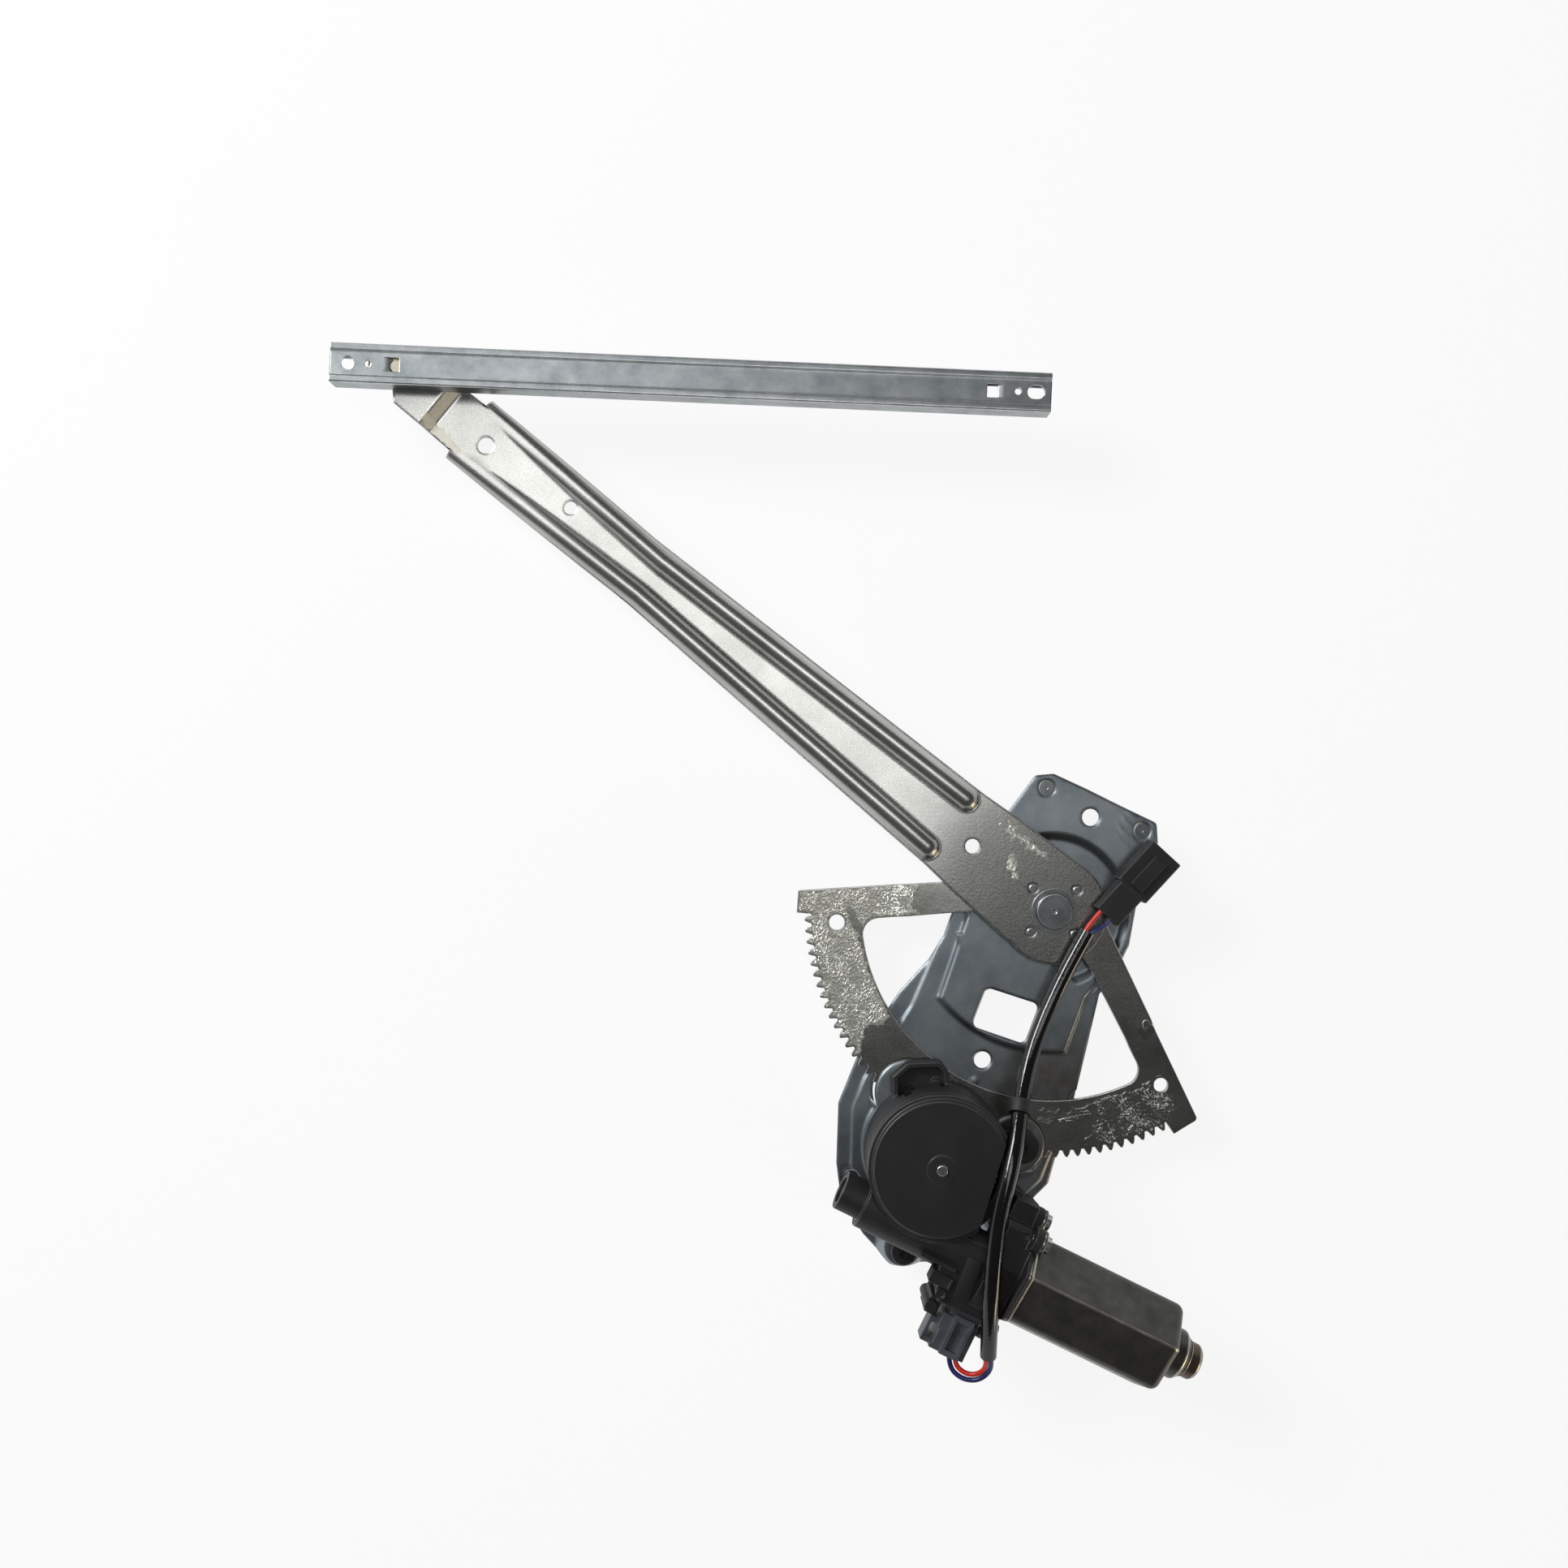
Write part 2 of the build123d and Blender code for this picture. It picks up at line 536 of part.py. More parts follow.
MOTOR_END = [(-24, -14), (-24, 3), (-19, 11), (-12, 14), (4, 15.5), (22, 13), (25, 9), (25, -14), (0, -21)]
MOTOR_SCREWS = [(29.0, 0.0), (22.4, 14.6), (-29.0, 0.0)]
with BuildPart() as gearbox_housing:
    with Locations((GX, GY, (SEAT + GB_TOP) / 2)):
        Cylinder(GB_R, GB_TOP - SEAT)
    rod(-24, 52, 12.5)
    rod(-36, -24, 9.2)
    box_un(20, 52, -46, -24, 18, 41)
    box_un(26, 50, -57, -30, 14, 41)
    box_un(40, 52, -20, 2, 16, 36)
    box_un(30, 44, -10, 4, 16, 30)
    with Locations((GX, GY, GB_TOP)):
        Cylinder(GB_R + 0.3, 20, align=(Align.CENTER, Align.CENTER, Align.MIN), mode=Mode.SUBTRACT)
    # ears
    with BuildSketch(Plane.XY.offset(SEAT)):
        with BuildLine():
            Polyline(*PP((-79, -96), (-79.5, -80), (-72, -73.4), (-56, -72.6), (-51.8, -78), (-50, -92)),
                     close=True)
        make_face()
        fillet(vertices().group_by(Axis.Y)[-1] + vertices().group_by(Axis.Y)[-2], 4)
    extrude(amount=9)
    with BuildSketch(Plane.XY.offset(SEAT + 4)):
        with BuildLine():
            Polyline(*PP((-76.8, -91), (-76.6, -80.6), (-71, -75.6), (-57.2, -75), (-54.4, -78.5),
                         (-54, -88)), close=True)
        make_face()
        fillet(vertices().group_by(Axis.Y)[-1] + vertices().group_by(Axis.Y)[-2], 2.5)
    extrude(amount=10, mode=Mode.SUBTRACT)
    with BuildSketch(Plane.XY.offset(SEAT)):
        with Locations(P(-16, -114.6)):
            Circle(8.0)
        with Locations((*P(-25, -114),)):
            Rectangle(18, 15)
        with Locations(P(-73.8, -165.6)):
            Circle(6.2)
        with Locations(Location((*P(-69, -158), 0), (0, 0, 63.9))):
            Rectangle(16, 9)
    extrude(amount=8)
    with Locations((*P(-58.3, -83.5), SEAT + 5)):
        Cylinder(2.2, 6)
    # motor end: a flat-topped block, then the thin flange and its screw ears
    with BuildSketch(motor_plane(40)):
        with BuildLine():
            Polyline(*MOTOR_END, close=True)
        make_face()
        fillet(vertices(), 1.5)
    extrude(amount=14.6)
    with BuildSketch(motor_plane(54.5)):
        with BuildLine():
            Polyline(*hexagon(FLANGE_R), close=True)
        make_face()
        fillet(vertices(), 3)
    extrude(amount=1.5)
    with BuildSketch(motor_plane(52)):
        SlotCenterToCenter(58, 11)
        with Locations(*MOTOR_SCREWS[1:2]):
            Circle(6)
    extrude(amount=4)
    # cavities
    with Locations((GX, GY, (20.5 + GB_TOP) / 2)):
        Cylinder(29.0, GB_TOP - 20.5, mode=Mode.SUBTRACT)
    with Locations((GX, GY, 15)):
        Cylinder(8.06, 30, mode=Mode.SUBTRACT)
    rod(-22, 16, 9.0, Mode.SUBTRACT)
    rod(-40, -30, 6.4, Mode.SUBTRACT)
    rod(-31, 57, 4.0, Mode.SUBTRACT)
    rod(30, 57, 10.5, Mode.SUBTRACT)
    for x, y in EARS:
        with Locations((*P(x, y), SEAT)):
            Cylinder(1.65, 40, mode=Mode.SUBTRACT)
    for a, b in MOTOR_SCREWS:
        with BuildSketch(motor_plane(50)):
            with Locations((a, b)):
                Circle(2.0)
        extrude(amount=10, mode=Mode.SUBTRACT)
save("gearbox_housing", gearbox_housing.part)

with BuildPart() as gearbox_cover:
    with Locations((GX, GY, (GB_TOP + 43.4) / 2)):
        Cylinder(GB_R, 43.4 - GB_TOP)
    with Locations((GX, GY, (43.4 + COVER_TOP) / 2)):
        Cone(32.6, 31.8, COVER_TOP - 43.4)
    with BuildSketch(clip_plane(25.2)):
        with Locations((GB_TOP + 1.2, 0)):
            Rectangle(60, 50)
    extrude(amount=20, mode=Mode.SUBTRACT)
    with Locations((GX, GY, GB_TOP - 9)):
        Cylinder(60, 18, mode=Mode.SUBTRACT)
    with Locations((GX, GY, COVER_TOP)):
        Cylinder(6.8, 0.8)
    with Locations((GX, GY, COVER_TOP)):
        Cylinder(2.65, 20, mode=Mode.SUBTRACT)
save("gearbox_cover", gearbox_cover.part)

with BuildPart() as gearbox_screws:
    for (x, y), z in zip(EARS, (SEAT + 4, SEAT + 8, SEAT + 8)):
        with Locations((*P(x, y), (Z_LOBE + z) / 2)):
            Cylinder(1.6, z - Z_LOBE)
        with Locations((*P(x, y), z + 0.9)):
            Cylinder(2.9, 1.8)
        with Locations((*P(x, y), z + 1.6)):
            Cylinder(1.4, 1.2, mode=Mode.SUBTRACT)
save("gearbox_screws", gearbox_screws.part)

with BuildPart() as output_axle:
    with Locations((GX, GY, 25.5)):
        Cylinder(2.65, 44.0)
    chamfer(edges().sort_by(Axis.Z)[-1], 0.4)
save("output_axle", output_axle.part)

# ---------------------------------------------------------------- drive train
PITCH_P = MODULE * PINION_TEETH / 2
PIN_Z0, PIN_Z1 = 2.8, 8.2
with BuildPart() as pinion:
    with BuildSketch(Plane.XY.offset(PIN_Z0)):
        with BuildLine():
            step = 2 * math.pi / PINION_TEETH
            cs = [GEAR_DIR + math.pi + k * step for k in range(PINION_TEETH)]
            at = lambda r, a: (GX + r * math.cos(a), GY + r * math.sin(a))
            tooth_chain(PINION_TEETH, cs, PITCH_P, at)
            Line(at(*tooth(PINION_TEETH, cs[-1], PITCH_P)[1][2]),
                 at(*tooth(PINION_TEETH, cs[0], PITCH_P)[0][0]))
        make_face()
    extrude(amount=PIN_Z1 - PIN_Z0)
    with Locations((GX, GY, (PIN_Z1 + 37) / 2)):
        Cylinder(8.0, 37 - PIN_Z1)
    with Locations((GX, GY, 20)):
        Cylinder(2.68, 60, mode=Mode.SUBTRACT)
save("pinion", pinion.part)

WHEEL_R = WHEEL_TEETH * WHEEL_M / 2
with BuildPart() as worm_wheel:
    with BuildSketch(Plane.XY.offset(26)):
        with Locations((GX, GY)):
            Circle(WHEEL_R + 0.75)
    extrude(amount=8)
    # a tooth gap faces the worm's thread at rest
    for k in range(WHEEL_TEETH):
        a = math.degrees(MOTOR_DIR) - 90 + k * 360 / WHEEL_TEETH
        with Locations(Location((GX, GY, 30), (0, 0, a))):
            with Locations((WHEEL_R + 0.6, 0, 0)):
                Box(2.2, 1.7, 8, mode=Mode.SUBTRACT)
    with Locations((GX, GY, 31)):
        Cylinder(20.0, 8, align=(Align.CENTER, Align.CENTER, Align.MIN), mode=Mode.SUBTRACT)
    with Locations((GX, GY, 30)):
        Cylinder(21.5, 6, align=(Align.CENTER, Align.CENTER, Align.MIN), mode=Mode.SUBTRACT)
    with Locations((GX, GY, 22)):
        Cylinder(11.0, 6, align=(Align.CENTER, Align.CENTER, Align.MIN))
    for k in range(3):
        with Locations(Location((GX, GY, 32), (0, 0, 120 * k))):
            with Locations((15, 0, 0)):
                Box(10, 2.4, 4)
    with Locations((GX, GY, 30)):
        Cylinder(8.0, 40, mode=Mode.SUBTRACT)
save("worm_wheel", worm_wheel.part)

with BuildPart() as damper:
    with Locations((GX, GY, 31.9)):
        Cylinder(19.4, 3.6)
    for k in range(3):
        for a, w in ((120 * k, 2.5), (120 * k + 60, 5.1)):
            with Locations(Location((GX, GY, 32), (0, 0, a))):
                with Locations((16, 0, 0)):
                    Box(20, w, 8, mode=Mode.SUBTRACT)
    with Locations((GX, GY, 32)):
        Cylinder(10.5, 8, mode=Mode.SUBTRACT)
save("damper", damper.part)

with BuildPart() as drive_plate:
    with Locations((GX, GY, 35.0)):
        Cylinder(19.4, 1.8)
    for k in range(3):
        with Locations(Location((GX, GY, 32.6), (0, 0, 120 * k + 60))):
            with Locations((15, 0, 0)):
                Box(7, 5.0, 4)
    with Locations((GX, GY, 32)):
        Cylinder(8.0, 20, mode=Mode.SUBTRACT)
save("drive_plate", drive_plate.part)

# ---------------------------------------------------------------- motor
LEAD = math.pi * WHEEL_M
WORM_R = 5.15
with BuildPart() as armature_shaft:
    rod(-34, 150.5, 2.0)
    rod(-16, 16, 4.2)
    # a turn of the thread sits in the wheel's gap, on the side that faces the wheel
    out = Helix(pitch=LEAD, height=LEAD, radius=4.1, direction=motor_plane(0).z_dir) @ 0
    lag = math.atan2(out.dot(motor_plane(0).y_dir), out.dot(motor_plane(0).x_dir)) / (2 * math.pi)
    start = motor_plane(LEAD * (lag - 5))
    with BuildLine() as thread:
        Helix(pitch=LEAD, height=9 * LEAD, radius=4.1, center=start.origin,
              direction=start.z_dir)
    out = (thread.line @ 0) - start.origin
    with BuildSketch(Plane(origin=thread.line @ 0, x_dir=out, z_dir=thread.line % 0)):
        with BuildLine():
            Polyline((-0.3, -0.62), (-0.3, 0.62), (1.3, 0.32), (1.3, -0.32), close=True)
        make_face()
    sweep(path=thread.line, is_frenet=True)
save("armature_shaft", armature_shaft.part)

with BuildPart() as armature_core:
    rod(72, 108, 14.6)
    for k in range(8):
        with Locations(motor_plane(90).location):
            with Locations(Location((0, 0, 0), (0, 0, 45 * k + 22.5))):
                with Locations((13.6, 0, 0)):
                    Box(4, 2.2, 40, mode=Mode.SUBTRACT)
                with Locations((9.8, 0, 0)):
                    Cylinder(2.6, 40, mode=Mode.SUBTRACT)
    rod(70, 110, 2.0, Mode.SUBTRACT)
save("armature_core", armature_core.part)

with BuildPart() as windings:
    rod(64, 72, 12.4)
    rod(108, 116, 12.4)
    for k in range(8):
        with Locations(motor_plane(90).location):
            with Locations(Location((0, 0, 0), (0, 0, 45 * k + 22.5))):
                with Locations((9.8, 0, 0)):
                    Cylinder(2.2, 37)
    rod(60, 120, 2.0, Mode.SUBTRACT)
save("windings", windings.part)

with BuildPart() as commutator:
    rod(40, 55, 6.5)
    rod(54, 56, 7.6)
    for k in range(8):
        with Locations(motor_plane(46).location):
            with Locations(Location((0, 0, 0), (0, 0, 45 * k))):
                with Locations((6.5, 0, 0)):
                    Box(1.4, 0.5, 14, mode=Mode.SUBTRACT)
    rod(36, 60, 2.0, Mode.SUBTRACT)
save("commutator", commutator.part)

with BuildPart() as brushes:
    for side in (1, -1):
        with Locations(motor_plane(46).location):
            with Locations((side * 8.3, 0, 0)):
                Box(3.3, 4, 5)
save("brushes", brushes.part)

with BuildPart() as end_bush:
    rod(-30.5, -24.5, 4.0)
    rod(-36, -20, 2.03, Mode.SUBTRACT)
save("end_bush", end_bush.part)

with BuildPart() as end_cap:
    rod(-34.6, -34.1, 6.4)
    rod(-34.6, -30.6, 6.4)
    rod(-34.05, -30, 4.8, Mode.SUBTRACT)
save("end_cap", end_cap.part)

with BuildPart() as front_bush:
    rod(20, 28, 4.0)
    rod(18, 30, 2.03, Mode.SUBTRACT)
save("front_bush", front_bush.part)


with BuildPart() as motor_yoke:
    with BuildSketch(motor_plane(CAN_START)):
        with BuildLine():
            Polyline(*hexagon(CAN_HALF / math.cos(math.pi / 6)), close=True)
        make_face()
        fillet(vertices().sort_by(Axis.Y)[1:-1], 5)   # the top and bottom ridges stay sharp
    extrude(amount=CAN_END - CAN_START)
    fillet(faces().sort_by(Axis.X)[-1].edges(), 4.5)
    with BuildSketch(motor_plane(56)):
        with BuildLine():
            Polyline(*hexagon(FLANGE_R), close=True)
        make_face()
        fillet(vertices(), 3)
        SlotCenterToCenter(58, 10.6)
        with Locations(*MOTOR_SCREWS[1:2]):
            Circle(5.8)
    extrude(amount=2)
    rod(CAN_END - 0.5, 142.5, 11.85)
    with Locations(motor_plane(142.5).location):
        Cone(11.85, 8.9, 3.2, align=(Align.CENTER, Align.CENTER, Align.MIN))
    rod(145, 152.5, 8.6)
    chamfer(edges().filter_by(GeomType.CIRCLE).sort_by(Axis.X)[-1], 1.6)
    rod(55, CAN_END - 1.6, 18.4, Mode.SUBTRACT)
    rod(CAN_END - 3, 151, 4.0, Mode.SUBTRACT)
    for a, b in MOTOR_SCREWS:
        with BuildSketch(motor_plane(55)):
            with Locations((a, b)):
                Circle(2.0)
        extrude(amount=4, mode=Mode.SUBTRACT)
save("motor_yoke", motor_yoke.part)

with BuildPart() as motor_screws:
    for a, b in MOTOR_SCREWS:
        with BuildSketch(motor_plane(51.6)):
            with Locations((a, b)):
                Circle(2.0)
        extrude(amount=6.4)
        with BuildSketch(motor_plane(58)):
            with Locations((a, b)):
                Circle(4.0)
        extrude(amount=2.4)
        with BuildSketch(motor_plane(59.2)):
            with Locations((a, b)):
                RegularPolygon(1.7, 6)
        extrude(amount=2, mode=Mode.SUBTRACT)
save("motor_screws", motor_screws.part)

with BuildPart() as magnets:
    rod(70, 112, 18.4)
    rod(60, 120, 15.2, Mode.SUBTRACT)
    for side in (0, 180):
        with Locations(motor_plane(91).location):
            with Locations(Location((0, 0, 0), (0, 0, side))):
                with Locations((17, 0, 0)):
                    Box(20, 16, 60, mode=Mode.SUBTRACT)
save("magnets", magnets.part)

with BuildPart() as rear_bush:
    rod(140, 149, 4.0)
    rod(130, 151, 2.03, Mode.SUBTRACT)
save("rear_bush", rear_bush.part)

# ---------------------------------------------------------------- harness
CAN = 26.0                   # height of the wire exits on the motor plug
SLEEVE = [(-36.0, -206.8, 38.0), (-36.9, -181.4, 50.5), (-35.7, -160.7, 51.5), (-33.1, -138.1, 50.0),
          (-26.9, -117.3, 47.0), (-23.0, -102.6, 41.5), (-17.3, -79.0, 28.0), (-11.1, -60.9, 23.0),
          (-4.1, -45.3, 20.5), (5.4, -25.8, 19.5), (14.8, -9.2, 19.5)]
SLEEVE = [(*P(x, y), z) for x, y, z in SLEEVE]
CONN_REAR, CONN_DIR, CONN_Z = P(23.4, -1.6), math.radians(47.3), 19.5


def conn_plane(s):
    """Square to the connector's axis, s from its rear face; local x is across, y up."""
    c, q = math.cos(CONN_DIR), math.sin(CONN_DIR)
    return Plane(origin=(CONN_REAR[0] + s * c, CONN_REAR[1] + s * q, CONN_Z),
                 x_dir=(-q, c, 0), z_dir=(c, q, 0))


def plug_exit(u):
    return world(gear_plane(CAN), u, -80.5)


def wire_route(side, exit_u, loop_r):
    """Motor plug, round the lower loop, through the sleeve and into the connector."""
    core = beside(SLEEVE, side * 1.25)
    x1, y1, _ = core[0]
    x0, y0, _ = plug_exit(exit_u)
    cx = (x0 + x1) / 2
    bend = [(cx + loop_r * kx, y1 - 4.5 + loop_r * ky, z) for kx, ky, z in
            ((-0.93, -0.50, CAN + 0.8), (-0.36, -1.02, CAN + 2.6), (0.40, -1.02, CAN + 4.8),
             (0.96, -0.46, CAN + 7.2))]
    tail = world(conn_plane(-4.5), -side * 3.1, 0)
    end = world(conn_plane(0), -side * 3.1, 0)
    return [(x0, y0, CAN), *bend, *core, tail, end]


ROUTES = {"wire_red": wire_route(-1, 49.0, 7.6), "wire_blue": wire_route(1, 45.6, 10.4)}


def length_of(pts):
    return sum((Vector(*b) - Vector(*a)).length for a, b in zip(pts, pts[1:]))


with BuildPart() as harness_sleeve:
    with BuildLine():
        FilletPolyline(*SLEEVE, radius=run_radii(SLEEVE))
    with BuildSketch(Plane(origin=SLEEVE[0], z_dir=Vector(*SLEEVE[1]) - Vector(*SLEEVE[0]))):
        Circle(SLEEVE_OD / 2)
        Circle(SLEEVE_ID / 2, mode=Mode.SUBTRACT)
    sweep()
save("harness_sleeve", harness_sleeve.part)

with BuildPart() as wire_red:
    pts = ROUTES["wire_red"]
    with BuildLine():
        FilletPolyline(*pts, radius=run_radii(pts))
    with BuildSketch(Plane(origin=pts[0], z_dir=Vector(*pts[1]) - Vector(*pts[0]))):
        Circle(WIRE_D / 2)
    sweep()
save("wire_red", wire_red.part)

with BuildPart() as wire_blue:
    pts = ROUTES["wire_blue"]
    with BuildLine():
        FilletPolyline(*pts, radius=run_radii(pts))
    with BuildSketch(Plane(origin=pts[0], z_dir=Vector(*pts[1]) - Vector(*pts[0]))):
        Circle(WIRE_D / 2)
    sweep()
save("wire_blue", wire_blue.part)

for name, pts, area, part in (
        ("sleeve", SLEEVE, math.pi * (SLEEVE_OD ** 2 - SLEEVE_ID ** 2) / 4, harness_sleeve.part),
        ("red", ROUTES["wire_red"], math.pi * WIRE_D ** 2 / 4, wire_red.part),
        ("blue", ROUTES["wire_blue"], math.pi * WIRE_D ** 2 / 4, wire_blue.part)):
    print("cord", name, "route", round(length_of(pts), 1), "by volume", round(part.volume / area, 1),
          "bend radii", [round(r, 1) for r in run_radii(pts)])

with BuildPart() as motor_plug:
    box_un(33, 51, -80, -62, 17, 35)
    box_un(36, 50, -62, -58.2, 19, 33)
    box_un(38, 48, -80, -60, 35, 37.5)
    box_un(40, 46, -77, -63, 35, 40, Mode.SUBTRACT)
    box_un(29, 34, -80, -67, 20, 30)
    box_un(30.8, 34, -77.5, -70, 15, 35, Mode.SUBTRACT)
    for u in (45.6, 49.0):
        with Locations(gear_plane(CAN).location):
            with Locations(Location((u, -80, 0), (90, 0, 0))):
                Cylinder(1.25, 6, mode=Mode.SUBTRACT)
save("motor_plug", motor_plug.part)

with BuildPart() as plug_socket:
    box_un(26, 50, -58, -57.05, 14, 38)
    box_un(24, 30, -66, -57.05, 16, 34)
    with Locations(gear_plane(25).location):
        with Locations((25.5, -62, 0)):
            Cylinder(3.0, 24)
save("plug_socket", plug_socket.part)

FOOT, HEAD = Vector(*SLEEVE[5]), Vector(*SLEEVE[6])
ALONG = (HEAD - FOOT).normalized()
CLIP = FOOT + (HEAD - FOOT) * 0.5
with BuildPart() as harness_clip:
    with BuildSketch(Plane(origin=CLIP - ALONG * 3.2, z_dir=ALONG)):
        Circle(5.5)
    extrude(amount=6.4)
    with Locations((*P(-20.5, -108.5), (SEAT + 8 + 33) / 2)):
        Box(4.4, 4.4, 33 - SEAT - 8)
    with BuildLine():
        Line((*P(-20.5, -108.5), 30.5), (CLIP.X, CLIP.Y, 30.5))
    with BuildSketch(Plane(origin=(*P(-20.5, -108.5), 30.5), z_dir=(CLIP.X - PX + 20.5,
                                                                   CLIP.Y - PY + 108.5, 0))):
        Rectangle(4.4, 4.4)
    sweep()
    with BuildSketch(Plane(origin=CLIP - ALONG * 9, z_dir=ALONG)):
        Circle(SLEEVE_OD / 2 + 0.05)
    extrude(amount=18, mode=Mode.SUBTRACT)
save("harness_clip", harness_clip.part)

with BuildPart() as connector_housing:
    with BuildSketch(conn_plane(0)):
        RectangleRounded(14, 10, 1.2)
    extrude(amount=19)
    with BuildSketch(conn_plane(17)):
        RectangleRounded(18.2, 12, 1.2)
    extrude(amount=24.8)
    with BuildSketch(conn_plane(26)):
        RectangleRounded(14.6, 8.4, 0.8)
    extrude(amount=20, mode=Mode.SUBTRACT)
    for side in (1, -1):
        with BuildSketch(conn_plane(-1)):
            with Locations((side * 3.1, 0)):
                Circle(1.9)
        extrude(amount=28, mode=Mode.SUBTRACT)
save("connector_housing", connector_housing.part)

with BuildPart() as connector_terminals:
    for side in (1, -1):
        with BuildSketch(conn_plane(0)):
            with Locations((side * 3.1, 0)):
                Circle(1.9)
        extrude(amount=8)
        with BuildSketch(conn_plane(8)):
            with Locations((side * 3.1, 0)):
                Rectangle(2.2, 0.8)
        extrude(amount=25)
save("connector_terminals", connector_terminals.part)

with BuildPart() as connector_lock:
    with BuildSketch(conn_plane(19)):
        with Locations((0, 7.0)):
            RectangleRounded(7, 2, 0.5)
    extrude(amount=18)
save("connector_lock", connector_lock.part)
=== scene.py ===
# %% [markdown]
# # Electric window lift of a car door
# A toothed sector swings a long arm, a geared motor drives the sector, and a shoe at the arm's end
# slides in the rail that carries the glass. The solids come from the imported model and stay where
# they are. This lesson dresses them: every part gets the finish of the real thing, pressed and
# moulded parts get eased edges, and the grease, a few small mouldings and the cable in its sleeve
# are modelled here. All lengths are in metres unless a name says mm, in the model's own frame:
# +Z points out of the door towards the cabin, +Y up the door.

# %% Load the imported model
import json
import math

import bpy
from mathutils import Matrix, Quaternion, Vector, noise
from mathutils.bvhtree import BVHTree


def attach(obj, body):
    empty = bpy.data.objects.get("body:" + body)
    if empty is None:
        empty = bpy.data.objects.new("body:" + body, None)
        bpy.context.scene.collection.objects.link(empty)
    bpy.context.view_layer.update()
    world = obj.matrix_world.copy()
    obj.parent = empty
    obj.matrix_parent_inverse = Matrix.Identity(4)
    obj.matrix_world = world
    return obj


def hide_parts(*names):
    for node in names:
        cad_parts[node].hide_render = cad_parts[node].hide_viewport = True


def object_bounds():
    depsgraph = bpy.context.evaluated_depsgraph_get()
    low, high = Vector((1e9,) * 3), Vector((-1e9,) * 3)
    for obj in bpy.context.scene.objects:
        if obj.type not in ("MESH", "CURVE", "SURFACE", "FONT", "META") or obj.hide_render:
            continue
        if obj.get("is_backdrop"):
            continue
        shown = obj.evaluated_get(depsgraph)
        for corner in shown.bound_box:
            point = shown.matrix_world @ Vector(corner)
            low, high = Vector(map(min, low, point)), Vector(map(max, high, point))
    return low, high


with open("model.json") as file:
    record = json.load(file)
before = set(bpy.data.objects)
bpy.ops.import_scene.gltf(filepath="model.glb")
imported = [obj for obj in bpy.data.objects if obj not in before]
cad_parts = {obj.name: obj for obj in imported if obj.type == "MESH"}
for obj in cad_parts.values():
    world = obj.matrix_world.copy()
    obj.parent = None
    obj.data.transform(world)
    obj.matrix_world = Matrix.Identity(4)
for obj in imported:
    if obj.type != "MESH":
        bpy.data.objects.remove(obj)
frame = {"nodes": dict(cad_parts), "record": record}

cad_low, cad_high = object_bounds()
MM = 0.001
BODY_OF = {n: b for b, ns in frame["record"]["behaviour"]["bodies"].items() for n in ns}
SLOT_OF = {s["node"]: s["material_slot"] for s in frame["record"]["subparts"]}
PIVOT = (0.0024, -0.0603, 0.0090)
print("nodes", len(frame["nodes"]), "box mm",
      [round(c / MM, 1) for c in cad_low], [round(c / MM, 1) for c in cad_high])

# %% [markdown]
# The camera hangs straight above the lift, 0.7 m over the sector, and looks down, with the door's
# upward direction at the top of the picture. A short lens suits that distance: it shows a little
# of the sides of whatever stands high, such as the motor at the lower right.

# %% Camera
CAMERA_AT = (-0.1298, 0.0020, 0.7070)
VIEW_WIDTH, VIEW_DISTANCE = 0.7728, 0.700
camera_data = bpy.data.cameras.new("camera")
camera_data.sensor_width = 36.0
camera_data.lens = camera_data.sensor_width * VIEW_DISTANCE / VIEW_WIDTH
camera = bpy.data.objects.new("camera", camera_data)
camera.location = CAMERA_AT
bpy.context.scene.collection.objects.link(camera)
bpy.context.scene.camera = camera
bpy.context.scene.view_settings.view_transform = "Standard"
print("lens mm", round(camera_data.lens, 2))

# %% [markdown]
# Two helpers carry all the finishes. `linear` turns a written sRGB colour into the linear numbers
# that the shader wants. `add` puts one node into a tree, with its settings, its values and its
# links.

# %% Colour and node helpers
def linear(hex_colour):
    """sRGB hex, such as "#6F7A80", as linear red, green, blue and alpha."""
    parts = [int(hex_colour[i:i + 2], 16) / 255 for i in (1, 3, 5)]
    return [c / 12.92 if c <= 0.04045 else ((c + 0.055) / 1.055) ** 2.4 for c in parts] + [1.0]


def add(tree, kind, values=None, stops=None, **settings):
    """Adds a node. Values go to its inputs by name or number: a socket is linked, a colour is hex.
    Stops are the places and colours of a colour ramp."""
    node = tree.nodes.new("ShaderNode" + kind)
    for name, value in settings.items():
        setattr(node, name, value)
    for name, value in (values or {}).items():
        if isinstance(value, bpy.types.NodeSocket):
            tree.links.new(value, node.inputs[name])
        else:
            node.inputs[name].default_value = linear(value) if isinstance(value, str) else value
    if stops:
        band = node.color_ramp
        while len(band.elements) < len(stops):
            band.elements.new(0.5)
        for element, (place, colour) in zip(band.elements, stops):
            element.position = place
            element.color = linear(colour)
    return node


def per(millimetres):
    """Noise scale that gives features of about this size, on coordinates in metres."""
    return 1.0 / (millimetres * MM)


def new_finish(name):
    """An empty material: its tree, its shader and the object's own coordinates."""
    material = bpy.data.materials.new(name)
    material.use_nodes = True
    tree = material.node_tree
    tree.nodes.clear()
    output = add(tree, "OutputMaterial")
    shader = add(tree, "BsdfPrincipled")
    tree.links.new(shader.outputs["BSDF"], output.inputs["Surface"])
    coords = add(tree, "TexCoord").outputs["Object"]
    return material, tree, shader, coords


print("mid grey #808080 is linear", round(linear("#808080")[0], 3))

